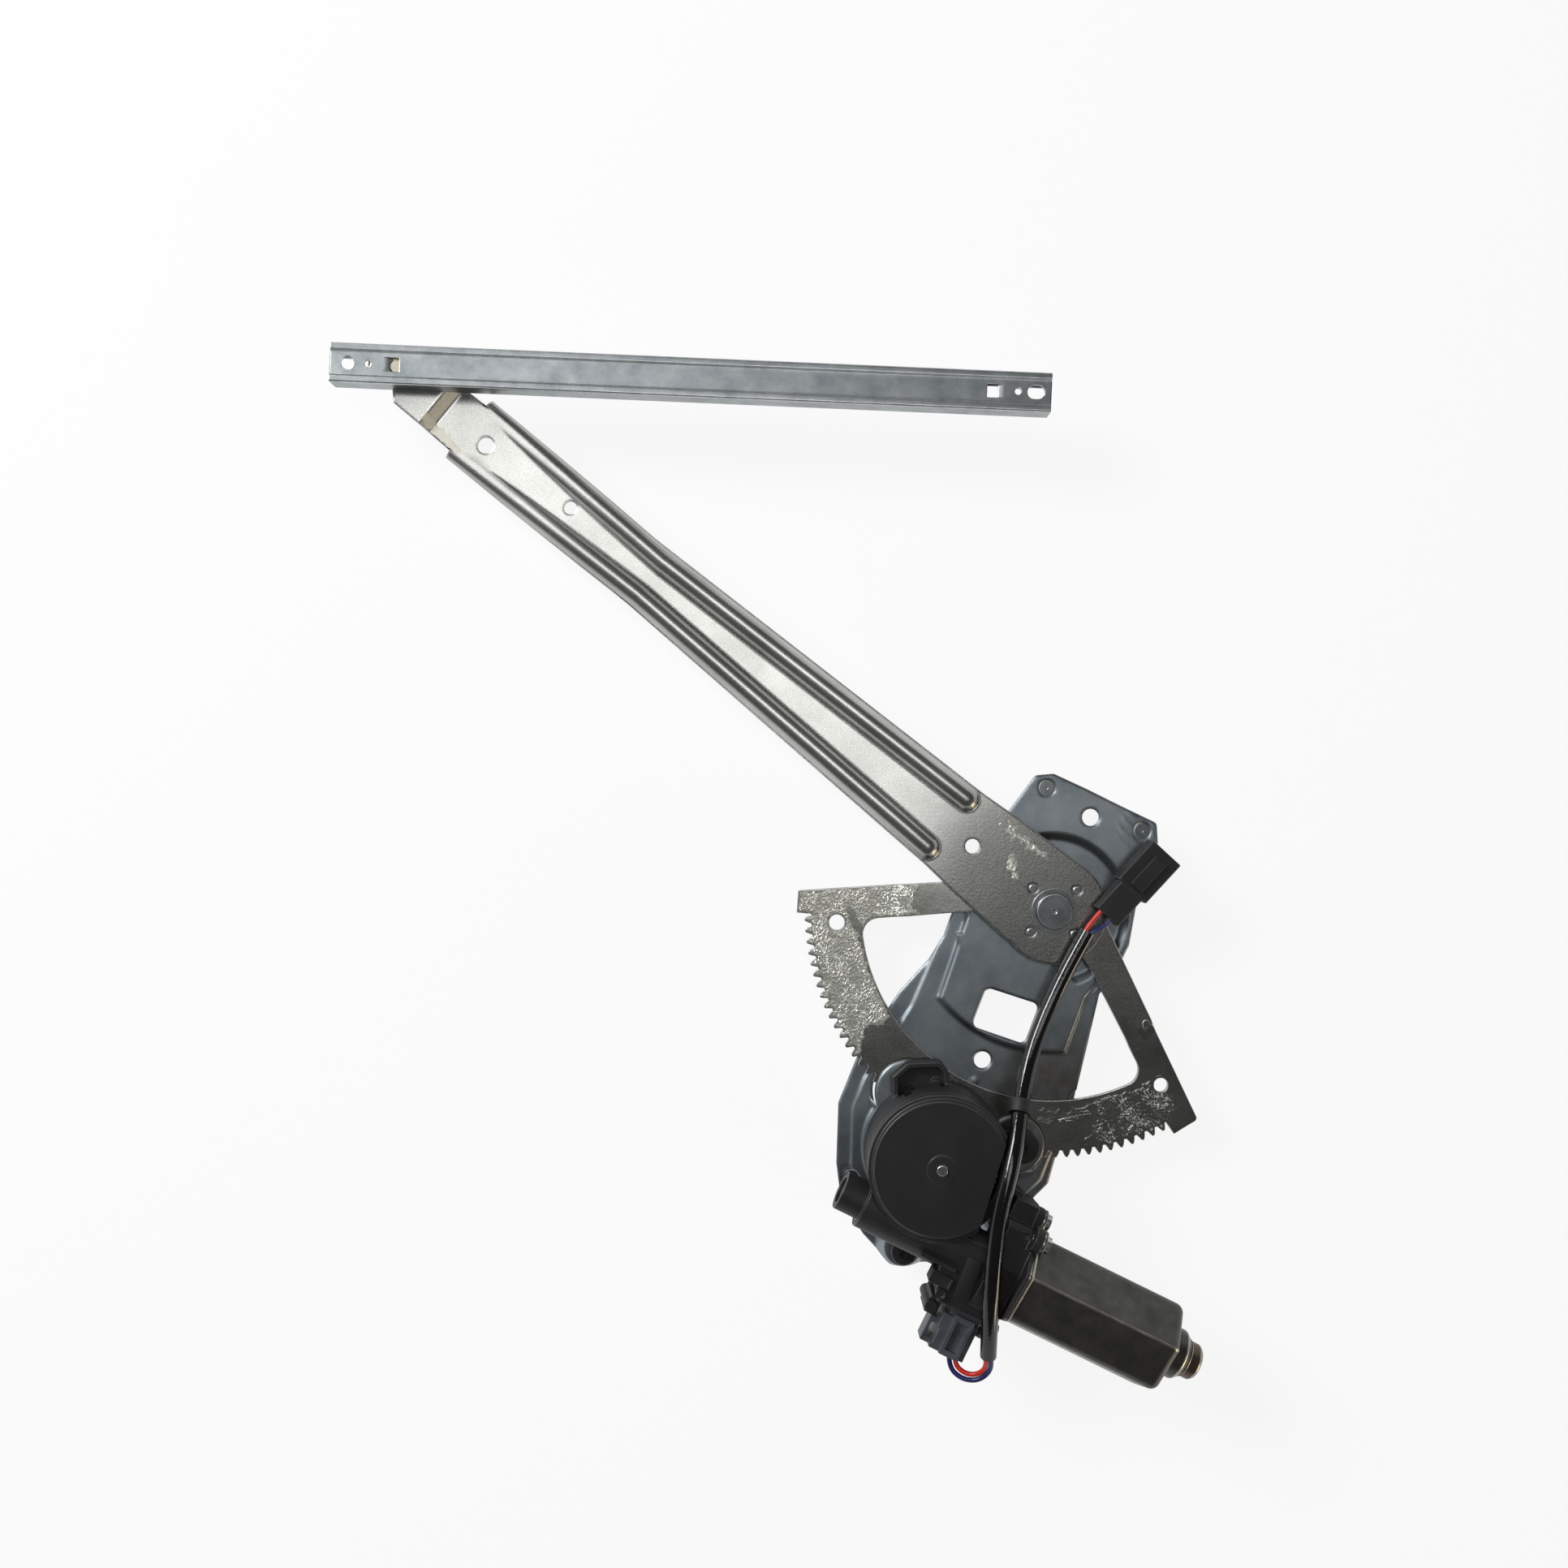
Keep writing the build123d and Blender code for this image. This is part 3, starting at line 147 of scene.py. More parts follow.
# %% [markdown]
# Every plain finish is the same idea: a real base colour that drifts a little from place to place,
# a roughness that drifts too, and a fine relief. `surface` builds that from real sizes in
# millimetres and keeps its main nodes by name, so that a finish that has more to say can be built
# up from them. Sheet metal is never bent to a sharp corner, so a Bevel node rounds the bends for
# the eye where bend_mm is given.

# %% A surface with drift, grain and relief
# Noise keeps mostly to the middle of its range, so the colours and the roughness spread over that.
TONE_BAND, NOISE_BAND = (0.32, 0.68), (0.3, 0.7)
GRAIN_STRENGTH, BEND_SAMPLES = 0.5, 8


def surface(name, dark, light, metallic, rough, drift_mm, grain_mm, relief_mm, ior=None,
            bend_mm=0.0):
    """Colour drifts from dark to light over drift_mm; grain_mm and relief_mm are the grain's size
    and depth; bend_mm is the radius to which bends are rounded for the eye."""
    material, tree, shader, coords = new_finish(name)
    drift = add(tree, "TexNoise", {"Vector": coords, "Scale": per(drift_mm), "Detail": 5.0,
                                   "Roughness": 0.6})
    tone = add(tree, "ValToRGB", {"Fac": drift.outputs["Fac"]},
               stops=[(TONE_BAND[0], dark), (TONE_BAND[1], light)])
    fine = add(tree, "TexNoise", {"Vector": coords, "Scale": per(grain_mm), "Detail": 3.0,
                                  "Roughness": 0.5})
    level = add(tree, "MapRange", {"Value": fine.outputs["Fac"], "From Min": NOISE_BAND[0],
                                   "From Max": NOISE_BAND[1], "To Min": rough[0],
                                   "To Max": rough[1]})
    bump = add(tree, "Bump", {"Height": fine.outputs["Fac"], "Strength": GRAIN_STRENGTH,
                              "Distance": relief_mm * MM})
    shader.inputs["Metallic"].default_value = metallic
    if ior:
        shader.inputs["IOR"].default_value = ior
    if bend_mm:
        round_off = add(tree, "Bevel", {"Radius": bend_mm * MM}, samples=BEND_SAMPLES)
        tree.links.new(round_off.outputs["Normal"], bump.inputs["Normal"])
    tree.links.new(tone.outputs["Color"], shader.inputs["Base Color"])
    tree.links.new(level.outputs["Result"], shader.inputs["Roughness"])
    tree.links.new(bump.outputs["Normal"], shader.inputs["Normal"])
    return {"material": material, "tree": tree, "shader": shader, "coords": coords,
            "tone": tone.outputs["Color"], "bump": bump}


def near_spot(made, spot, full_mm, gone_mm):
    """1 within full_mm of the spot, falling to 0 at gone_mm."""
    far = add(made["tree"], "VectorMath", {0: made["coords"], 1: spot}, operation="DISTANCE")
    return add(made["tree"], "MapRange", {"Value": far.outputs["Value"],
                                          "From Min": full_mm * MM, "From Max": gone_mm * MM,
                                          "To Min": 1.0, "To Max": 0.0},
               interpolation_type="SMOOTHSTEP").outputs["Result"]


def tint(made, share, colour):
    """Blends the base colour towards another one. Inputs 6 and 7 are the Mix node's two colours,
    output 2 is their blend."""
    mix = add(made["tree"], "Mix", {0: share, 6: made["tone"], 7: colour}, data_type="RGBA")
    made["tree"].links.new(mix.outputs[2], made["shader"].inputs["Base Color"])
    made["tone"] = mix.outputs[2]


def more_relief(made, height, depth_mm):
    """Adds one more bump on top of the fine one."""
    bump = add(made["tree"], "Bump", {"Height": height, "Strength": 1.0,
                                      "Distance": depth_mm * MM,
                                      "Normal": made["bump"].outputs["Normal"]})
    made["tree"].links.new(bump.outputs["Normal"], made["shader"].inputs["Normal"])
    made["bump"] = bump


def drawn(made, turn_deg, long_mm, wide_mm):
    """Noise drawn out in one direction of the sheet, as rolling and drawing leave it."""
    turned = add(made["tree"], "Mapping", {"Vector": made["coords"],
                                           "Rotation": (0, 0, math.radians(-turn_deg)),
                                           "Scale": (per(long_mm), per(wide_mm), per(wide_mm))})
    return add(made["tree"], "TexNoise", {"Vector": turned.outputs["Vector"], "Scale": 1.0,
                                          "Detail": 3.0}).outputs["Fac"]


FINISH = {}
print("a noise of 10 mm has scale", round(per(10), 1))

# %% [markdown]
# The base plate is pressed steel with a blue-grey zinc coat. The coat is a fine satin, so it
# spreads what it mirrors and stays lighter than bare metal beside it. Towards the motor, handling
# and old grease leave a brown film, and the deep draw leaves faint ripples round the stud at the
# right.

# %% Base plate: zinc coated sheet
STAIN_AT, RIGHT_STUD = (0.004, -0.160, 0.004), (0.047, -0.0213, 0.004)
# The wave texture repeats over two times in its own unit, so its crests lie some 4.5 mm apart.
RIPPLE_MM, RIPPLE_DEEP_MM = 10.0528, 0.10
ZINC = surface("blue_zinc_sheet", "#737B81", "#92999D", 1.0, (0.32, 0.44), 24, 0.7, 0.02,
               bend_mm=2.5)
tree = ZINC["tree"]
patches = add(tree, "TexNoise", {"Vector": ZINC["coords"], "Scale": per(9), "Detail": 4.0})
film = add(tree, "Math", {0: near_spot(ZINC, STAIN_AT, 14, 52), 1: patches.outputs["Fac"]},
           operation="MULTIPLY")
tint(ZINC, film.outputs["Value"], "#5A4A38")
ripple = add(tree, "TexWave", {"Vector": ZINC["coords"], "Scale": per(RIPPLE_MM),
                               "Distortion": 3.0, "Detail": 2.0, "Detail Scale": 1.2},
             bands_direction="DIAGONAL")
ripple = add(tree, "Math", {0: ripple.outputs["Fac"], 1: near_spot(ZINC, RIGHT_STUD, 8, 15)},
             operation="MULTIPLY")
more_relief(ZINC, ripple.outputs["Value"], RIPPLE_DEEP_MM)
FINISH["zinc_steel"] = ZINC["material"]
print(ZINC["material"].name, "nodes", len(tree.nodes))

# %% [markdown]
# The arm is drawn from bright zinc plated strip. It mirrors strongly, with fine lines along its
# length. Round the pivot the plating is thicker and dull, with the small pits of orange peel,
# which break up the mirror there. Its colour is darker there too, partly for the dull plating and
# partly as painted shade for the dim room it mirrors there.

# %% Arm: bright zinc, orange peel at the pivot
ARM_TURN, DULL_AND_SHADE_SHARE = 140.5, 0.75
BRIGHT = surface("bright_zinc_arm", "#A9A9A5", "#BDBDB9", 1.0, (0.24, 0.32), 30, 0.5, 0.012,
                 bend_mm=1.8)
tree = BRIGHT["tree"]
around = near_spot(BRIGHT, PIVOT, 42, 88)
peel = add(tree, "TexNoise", {"Vector": BRIGHT["coords"], "Scale": per(1.1), "Detail": 2.0,
                              "Roughness": 0.6})
peel = add(tree, "Math", {0: peel.outputs["Fac"], 1: around}, operation="MULTIPLY")
# Darker near the pivot: partly dull plating, partly painted shade for the dark reflection there.
dull_and_shade = add(tree, "Math", {0: around, 1: DULL_AND_SHADE_SHARE}, operation="MULTIPLY")
tint(BRIGHT, dull_and_shade.outputs["Value"], "#646461")
more_relief(BRIGHT, peel.outputs["Value"], 0.05)
more_relief(BRIGHT, drawn(BRIGHT, ARM_TURN, 40, 0.9), 0.008)
FINISH["arm_steel"] = BRIGHT["material"]
print(BRIGHT["material"].name, "nodes", len(tree.nodes))

# %% [markdown]
# The sector is the same strip with a film of oil, so it is a little darker and smoother. The rail
# is galvanised: a dull, cloudy grey with faint lines along it from the rollers that formed it.

# %% Sector and rail
OILED = surface("oiled_zinc_sector", "#7E7E7A", "#979792", 1.0, (0.20, 0.30), 18, 0.5, 0.012,
                bend_mm=0.5)
peel = add(OILED["tree"], "TexNoise", {"Vector": OILED["coords"], "Scale": per(1.7),
                                       "Detail": 2.0})
more_relief(OILED, peel.outputs["Fac"], 0.03)
FINISH["gear_steel"] = OILED["material"]
RAIL_TURN = -2.45
ROLLED = surface("galvanised_rail", "#83898C", "#A0A5A7", 1.0, (0.30, 0.42), 10, 0.8, 0.015,
                 bend_mm=0.6)
more_relief(ROLLED, drawn(ROLLED, RAIL_TURN, 50, 0.8), 0.02)
FINISH["rail_steel"] = ROLLED["material"]
for made in (OILED, ROLLED):
    print(made["material"].name, "nodes", len(made["tree"].nodes))

# %% [markdown]
# The motor's can is deep-drawn steel with a thin dark coat. The coat lies unevenly, in soft
# clouds, and its closed end is tinted a warm brown, a painted reflection of warm surroundings.

# %% Motor can
CAN_NOSE = (0.0650, -0.2740, 0.0300)
CAN = surface("dark_coated_can", "#41413E", "#555450", 0.75, (0.34, 0.44), 9, 0.5, 0.02,
              bend_mm=0.8)
# Painted reflection: the closed end is tinted warm brown, as warm surroundings mirrored in it
# would make it look.
tint(CAN, near_spot(CAN, CAN_NOSE, 7, 16), "#5C4C40")
FINISH["yoke_paint"] = CAN["material"]
print(CAN["material"].name, "nodes", len(CAN["tree"].nodes))

# %% [markdown]
# The other metals are small or inside, so one row each is enough. A row gives the slot, the dark
# and light tone, how metallic it is, the roughness from and to, and the size of its clouds.

# %% Small and inner metals
SMALL_GRAIN_MM, SMALL_RELIEF_MM = 0.4, 0.003
for slot, dark, light, metallic, low, high, drift_mm in (
        # Plated studs and screws: a clear, slightly blue mirror.
        ("bright_steel", "#A4A8AA", "#C4C8CA", 1.0, 0.20, 0.32, 6),
        # Blackened screws: nearly black, with a soft sheen.
        ("black_steel", "#161616", "#222222", 0.4, 0.35, 0.50, 4),
        # Ground and hardened shafts: the sharpest mirror here.
        ("hard_steel", "#A5A5A5", "#C2C2C2", 1.0, 0.15, 0.25, 6),
        # Stacked sheet of the rotor: mid grey and dull.
        ("core_steel", "#4C4C4E", "#66676A", 1.0, 0.45, 0.60, 6),
        # Ferrite magnets: a dark ceramic, hardly any gloss.
        ("magnet_steel", "#2A2828", "#3A3837", 0.0, 0.50, 0.65, 5),
        # Enamelled copper wire: warm orange brown.
        ("copper", "#9A4A26", "#B9653A", 1.0, 0.25, 0.40, 4),
        # Sintered bronze bushes: dull gold, because their pores hold oil.
        ("sintered_bronze", "#7A5C34", "#937044", 1.0, 0.40, 0.55, 4),
        # Tinned brass blades: a pale, faintly yellow silver.
        ("tinned_brass", "#B4AE9C", "#C9C4B4", 1.0, 0.25, 0.35, 4)):
    made = surface(slot, dark, light, metallic, (low, high), drift_mm, SMALL_GRAIN_MM,
                   SMALL_RELIEF_MM)
    FINISH[slot] = made["material"]

# Heads that are staked over in place are given a darker, duller finish.
STAKED = surface("staked_zinc_heads", "#64686A", "#7B7F80", 1.0, (0.28, 0.40), 6, 0.4, 0.004,
                 bend_mm=0.4)["material"]
print("metals", len(FINISH) + 1)

# %% [markdown]
# The plastics are told apart by their gloss and their grain. A row gives the slot, the name, the
# dark and light tone, the roughness from and to, the size of its clouds, the size and depth of its
# grain, and the index of refraction.

# %% Plastics and rubber
for slot, name, dark, light, low, high, drift_mm, grain_mm, relief_mm, ior in (
        # Case and connector: matte black, with a fine sparkle of glass fibre and mould grain.
        ("black_nylon", "black_glass_filled_nylon", "#121113", "#1C1B1D",
         0.50, 0.66, 14, 0.55, 0.06, 1.50),
        # The motor's plug: a plain slate grey, a little glossier.
        ("grey_nylon", "grey_nylon", "#383C41", "#4C5157", 0.42, 0.55, 9, 0.35, 0.03, 1.53),
        # The shoe: unpigmented, waxy and cream.
        ("natural_nylon", "natural_acetal", "#C9BFA6", "#DAD2BC",
         0.40, 0.50, 6, 0.4, 0.02, 1.48),
        # The worm wheel: waxy and white.
        ("wheel_acetal", "white_acetal", "#D6D2C6", "#E4E1D8", 0.35, 0.45, 6, 0.4, 0.02, 1.48),
        # The damper: black and dead matte.
        ("damper_rubber", "black_rubber", "#1A1A1A", "#232323", 0.65, 0.80, 6, 0.4, 0.03, 1.52),
        # The brushes: dark grey with a dull graphite shine.
        ("brush_carbon", "pressed_carbon", "#1C1C1D", "#2A2A2C", 0.50, 0.65, 4, 0.3, 0.02, 1.8),
        # The sleeve: black and glossy, with long, slightly wavy highlights.
        ("sleeve_vinyl", "glossy_vinyl_tube", "#080709", "#100F11",
         0.07, 0.13, 18, 2.2, 0.10, 1.50),
        # The wires: smooth coloured vinyl with a soft highlight.
        ("wire_red", "red_cable_insulation", "#C01A0C", "#DA2412",
         0.30, 0.40, 10, 0.5, 0.01, 1.52),
        ("wire_blue", "navy_cable_insulation", "#14154E", "#1C1E66",
         0.30, 0.40, 10, 0.5, 0.01, 1.52)):
    made = surface(name, dark, light, 0.0, (low, high), drift_mm, grain_mm, relief_mm, ior=ior)
    FINISH[slot] = made["material"]
print("finishes", len(FINISH))

# %% [markdown]
# A solid from the model is loose triangles with knife-sharp edges. Pressed steel and mouldings
# never have those, and it is the eased edge that catches the light. So each visible solid gets a
# merged copy with a small bevel, and weighted normals that keep the flat faces flat. Hidden parts
# stay as they are. The bevel's own faces get a paler finish, partly the wear of handling and
# partly a painted edge highlight: brighter metal on steel, a dusty grey on the can, a paler,
# shinier line on nylon.

# %% Edge finishes
# Paler edge finishes: partly wear, partly painted highlight along the edges.
STEEL_EDGE_WEAR_AND_HIGHLIGHT = surface("steel_edge_wear_and_highlight", "#B4B6B6", "#D2D4D3", 1.0, (0.25, 0.35), 5,
                 SMALL_GRAIN_MM, SMALL_RELIEF_MM)["material"]
CAN_EDGE_WEAR_AND_HIGHLIGHT = surface("can_edge_wear_and_highlight", "#8A877E", "#B0ADA2", 1.0, (0.28, 0.38), 5,
                     SMALL_GRAIN_MM, SMALL_RELIEF_MM)["material"]
NYLON_EDGE_WEAR_AND_HIGHLIGHT = surface("nylon_edge_wear_and_highlight", "#2E2E30", "#3E3E41", 0.0, (0.30, 0.40), 5,
                     SMALL_GRAIN_MM, SMALL_RELIEF_MM, ior=1.50)["material"]
EDGE_WEAR_AND_HIGHLIGHT = {
    "gearbox_cover": NYLON_EDGE_WEAR_AND_HIGHLIGHT, "gearbox_housing": NYLON_EDGE_WEAR_AND_HIGHLIGHT, "connector_housing": NYLON_EDGE_WEAR_AND_HIGHLIGHT,
    "end_cap": NYLON_EDGE_WEAR_AND_HIGHLIGHT, "base_plate": STEEL_EDGE_WEAR_AND_HIGHLIGHT, "lift_arm": STEEL_EDGE_WEAR_AND_HIGHLIGHT, "sector_gear": STEEL_EDGE_WEAR_AND_HIGHLIGHT,
    "glass_rail": STEEL_EDGE_WEAR_AND_HIGHLIGHT, "motor_yoke": CAN_EDGE_WEAR_AND_HIGHLIGHT, "pivot_pin": STEEL_EDGE_WEAR_AND_HIGHLIGHT, "pivot_washer": STEEL_EDGE_WEAR_AND_HIGHLIGHT,
    "hub_rivets": STEEL_EDGE_WEAR_AND_HIGHLIGHT, "door_studs": STEEL_EDGE_WEAR_AND_HIGHLIGHT}
EASED_MM = {
    "base_plate": 0.5, "lift_arm": 0.4, "sector_gear": 0.4, "glass_rail": 0.3,
    "slider_shoe": 0.4, "gearbox_housing": 0.5, "gearbox_cover": 0.5, "motor_yoke": 0.7,
    "plug_socket": 0.4, "motor_plug": 0.4, "harness_clip": 0.3, "connector_housing": 0.4,
    "connector_lock": 0.3, "end_cap": 0.4, "door_studs": 0.3, "pivot_pin": 0.35,
    "pivot_washer": 0.3, "hub_rivets": 0.25, "gearbox_screws": 0.2, "motor_screws": 0.2,
    "slider_stud": 0.2, "output_axle": 0.2}
STAKED_NODES = ("pivot_pin", "pivot_washer", "hub_rivets", "door_studs")
# Only here do neighbouring edges come so close that their bevels have to be kept from crossing.
TIGHT_NODES = ("base_plate",)
print("edges to ease", len(EASED_MM), "of them rubbed", len(EDGE_WEAR_AND_HIGHLIGHT))

# %% Dress the solids
MERGE_M, FLAT_DEG, EASE_DEG, SMOOTH_DEG = 2e-6, 0.6, 28.0, 32
EASE_STEPS, FLAT_WEIGHT = 2, 100


def alone(obj):
    """Selects one object and nothing else."""
    for other in bpy.context.selected_objects:
        other.select_set(False)
    bpy.context.view_layer.objects.active = obj
    obj.select_set(True)


def dressed(node, ease_mm, edge):
    """A merged copy of a node with eased edges, in the edge's own finish if given; it stands for
    the node."""
    piece = bpy.data.objects.new(node + "_body", frame["nodes"][node].data.copy())
    bpy.context.scene.collection.objects.link(piece)
    alone(piece)
    bpy.ops.object.mode_set(mode="EDIT")
    bpy.ops.mesh.select_all(action="SELECT")
    bpy.ops.mesh.remove_doubles(threshold=MERGE_M)
    bpy.ops.mesh.dissolve_limited(angle_limit=math.radians(FLAT_DEG))
    bpy.ops.object.mode_set(mode="OBJECT")
    ease = piece.modifiers.new("ease", "BEVEL")
    ease.width, ease.segments, ease.limit_method = ease_mm * MM, EASE_STEPS, "ANGLE"
    ease.angle_limit = math.radians(EASE_DEG)
    ease.use_clamp_overlap = node in TIGHT_NODES
    piece.data.materials.clear()
    piece.data.materials.append(STAKED if node in STAKED_NODES else FINISH[SLOT_OF[node]])
    # The bevel's faces take the paler edge finish: partly wear, partly painted highlight.
    if edge:
        piece.data.materials.append(edge)
        ease.material = 1
    bpy.ops.object.modifier_apply(modifier="ease")
    bpy.ops.object.shade_smooth_by_angle(angle=math.radians(SMOOTH_DEG))
    flat = piece.modifiers.new("flat", "WEIGHTED_NORMAL")
    flat.mode, flat.weight, flat.keep_sharp = "FACE_AREA", FLAT_WEIGHT, True
    bpy.ops.object.modifier_apply(modifier="flat")
    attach(piece, BODY_OF[node])
    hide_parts(node)
    return piece


BODY = {node: dressed(node, ease, EDGE_WEAR_AND_HIGHLIGHT.get(node)) for node, ease in EASED_MM.items()}
for node, obj in frame["nodes"].items():
    if node not in BODY:
        obj.data.materials.clear()
        obj.data.materials.append(FINISH[SLOT_OF[node]])
for node in EDGE_WEAR_AND_HIGHLIGHT:
    faces = BODY[node].data.polygons
    wear_and_highlight_area = sum(f.area for f in faces if f.material_index == 1)
    print(node, "rubbed mm2", round(wear_and_highlight_area / MM ** 2, 1),
          "of", round(sum(f.area for f in faces) / MM ** 2))
print("dressed", len(BODY), "triangles",
      sum(len(p.vertices) - 2 for o in BODY.values() for p in o.data.polygons))

# %% [markdown]
# Mounting grease that has been pressed and pulled apart lies as a thin film with sharp little
# ridges, like crumpled foil. Between the ridges the wet metal shows through, so the film takes the
# metal's look in its valleys and turns pale and less metallic on its crests. The darker valleys
# are also painted shade, as falls in creases. The attribute `crest`, which the maker below leaves
# on every point, steers both.

# %% Grease finishes
# GOLD_AT is where a small painted gold glint, a painted reflection, sits on the pulled grease.
GOLD_AT, GLINT_FULL_MM, GLINT_GONE_MM = (-0.0945, -0.0700, 0.012), 1.5, 6
# The wrinkle noise is ridged and runs past 1. Its height and the crest's are added, and the sum
# is brought back to about 0 to 1 for the colours.
WRINKLE_BAND, CREST_WEIGHT, HEIGHT_SHARE = (0.6, 1.7), 0.9, 0.55
PASTE_BAND, PASTE_METAL_LEFT, WET_ROUGH = (0.15, 0.8), 0.3, 0.24


def grease(name, valley, film, top, metallic, wrinkle_mm, relief_mm, glint_at=None):
    """Wet grease: metal in the valleys, paste on the crests, with fine wrinkles of its own, and a
    painted gold glint, a painted reflection, where glint_at says."""
    material, tree, shader, coords = new_finish(name)
    crest = add(tree, "Attribute", attribute_name="crest").outputs["Fac"]
    wrinkle = add(tree, "TexNoise", {"Vector": coords, "Scale": per(wrinkle_mm), "Detail": 2.0,
                                     "Distortion": 0.8}, noise_type="RIDGED_MULTIFRACTAL")
    level = add(tree, "MapRange", {"Value": wrinkle.outputs["Fac"], "From Min": WRINKLE_BAND[0],
                                   "From Max": WRINKLE_BAND[1]})
    height = add(tree, "Math", {0: crest, 1: CREST_WEIGHT, 2: level.outputs["Result"]},
                 operation="MULTIPLY_ADD")
    half = add(tree, "Math", {0: height.outputs["Value"], 1: HEIGHT_SHARE}, operation="MULTIPLY")
    # Dark valleys in this ramp are partly the metal showing through and partly painted shade in
    # the creases.
    tone = add(tree, "ValToRGB", {"Fac": half.outputs["Value"]},
               stops=[(0.05, valley), (0.25, film), (0.55, top)])
    share = add(tree, "MapRange", {"Value": half.outputs["Value"], "From Min": PASTE_BAND[0],
                                   "From Max": PASTE_BAND[1], "To Min": metallic,
                                   "To Max": metallic * PASTE_METAL_LEFT})
    bump = add(tree, "Bump", {"Height": height.outputs["Value"], "Strength": 1.0,
                              "Distance": relief_mm * MM})
    made = {"tree": tree, "shader": shader, "coords": coords, "tone": tone.outputs["Color"]}
    tree.links.new(made["tone"], shader.inputs["Base Color"])
    # Painted reflection: a small gold glint tinted into the grease.
    if glint_at:
        tint(made, near_spot(made, glint_at, GLINT_FULL_MM, GLINT_GONE_MM), "#C9A662")
    tree.links.new(share.outputs["Result"], shader.inputs["Metallic"])
    tree.links.new(bump.outputs["Normal"], shader.inputs["Normal"])
    shader.inputs["Roughness"].default_value = WET_ROUGH
    return material


# Pulled apart: silvery with white crests. Dragged by the teeth: thin, the dark metal shows.
# Dried: an opaque cream paste with hardly any relief.
SILVERY = grease("pulled_grease", "#A6A69E", "#DEDED6", "#FFFEF8", 0.35, 2.6, 0.28, GOLD_AT)
DRAGGED = grease("dragged_grease", "#7E7E7A", "#9A9A95", "#F4F3EA", 0.9, 3.0, 0.14)
CREAMY = grease("dried_cream_grease", "#E4E0D2", "#F0EDE2", "#FAF8F0", 0.0, 3.0, 0.10)
print("grease finishes", [m.name for m in (SILVERY, DRAGGED, CREAMY)])

# %% [markdown]
# A smear is laid as by hand: a grid over the greasy place, dropped onto the metal below it, cut
# where there is no metal or the outline ends, and lifted in ridges that sink into the metal at the
# edge. It is given a body with Solidify, so that it is a closed film. The ridge pattern is noise
# along whose zero line a sharp crest runs; noise of half the size crosses it, and both are bent by
# slower noise.

# %% Pattern of the ridges
BEND_SCALE, BEND_BY = 0.45, 1.1
MAIN_SHARP, MAIN_SHARE = 5.0, 0.8
MINOR_SCALE, MINOR_SHARP, MINOR_SHARE = 2.1, 4.0, 0.5
MINOR_SHIFT = Vector((7.1, 3.3, 1.7))
PATCH_SCALE, PATCH_LEAST, PATCH_MEAN, PATCH_SWING = 0.23, 0.25, 0.8, 1.6
CREST_POWER = 1.5
# Noise vectors are shifted at random each time Blender starts, unless they are given a seed.
RIDGE_SEED = 7
noise.seed_set(RIDGE_SEED)


def crinkle(x, y, size_mm, along, stretch):
    """Height from 0 to 1 of sharp crests about size_mm apart, drawn out in the direction along."""
    c, s = math.cos(along), math.sin(along)
    p = Vector(((x * c + y * s) / stretch, y * c - x * s, 0.0)) * per(size_mm)
    p += noise.noise_vector(p * BEND_SCALE) * BEND_BY
    crest = max(0.0, 1.0 - abs(noise.noise(p)) * MAIN_SHARP)
    minor = max(0.0, 1.0 - abs(noise.noise(p * MINOR_SCALE + MINOR_SHIFT)) * MINOR_SHARP)
    patch = min(1.0, max(PATCH_LEAST, PATCH_MEAN + PATCH_SWING * noise.noise(p * PATCH_SCALE)))
    return min(1.0, patch * (MAIN_SHARE * crest ** CREST_POWER
                             + MINOR_SHARE * minor ** CREST_POWER))


print("height at the pivot", round(crinkle(PIVOT[0], PIVOT[1], 2.0, 0.0, 1.0), 2))

# %% Tools for a film that lies on metal
# Rays are dropped from this height, well above all the metal.
RAY_FROM = 0.2


def metal_of(node):
    """A node's mesh as a tree that rays can be dropped on."""
    mesh = frame["nodes"][node].data
    return BVHTree.FromPolygons([v.co for v in mesh.vertices],
                                [p.vertices for p in mesh.polygons])


def dropped(metal, x, y):
    """Where a ray from above meets the metal at a place in mm, or None beside it."""
    return metal.ray_cast(Vector((x * MM, y * MM, RAY_FROM)), Vector((0, 0, -1)))[0]


def depth_inside(x, y, outline):
    """Distance to the outline's nearest side, in its units; below 0 outside it."""
    nearest, within = math.inf, False
    for (ax, ay), (bx, by) in zip(outline, outline[1:] + outline[:1]):
        dx, dy = bx - ax, by - ay
        t = max(0.0, min(1.0, ((x - ax) * dx + (y - ay) * dy) / (dx * dx + dy * dy)))
        nearest = min(nearest, math.hypot(x - ax - t * dx, y - ay - t * dy))
        if (ay > y) != (by > y) and x < ax + (y - ay) * dx / dy:
            within = not within
    return nearest if within else -nearest


def keep_only(piece, keep):
    """Deletes the points of a grid that the list does not keep."""
    alone(piece)
    bpy.ops.object.mode_set(mode="EDIT")
    bpy.ops.mesh.select_mode(type="VERT")
    bpy.ops.mesh.select_all(action="DESELECT")
    bpy.ops.object.mode_set(mode="OBJECT")
    piece.data.vertices.foreach_set("select", [not k for k in keep])
    bpy.ops.object.mode_set(mode="EDIT")
    bpy.ops.mesh.delete(type="VERT")
    bpy.ops.object.mode_set(mode="OBJECT")


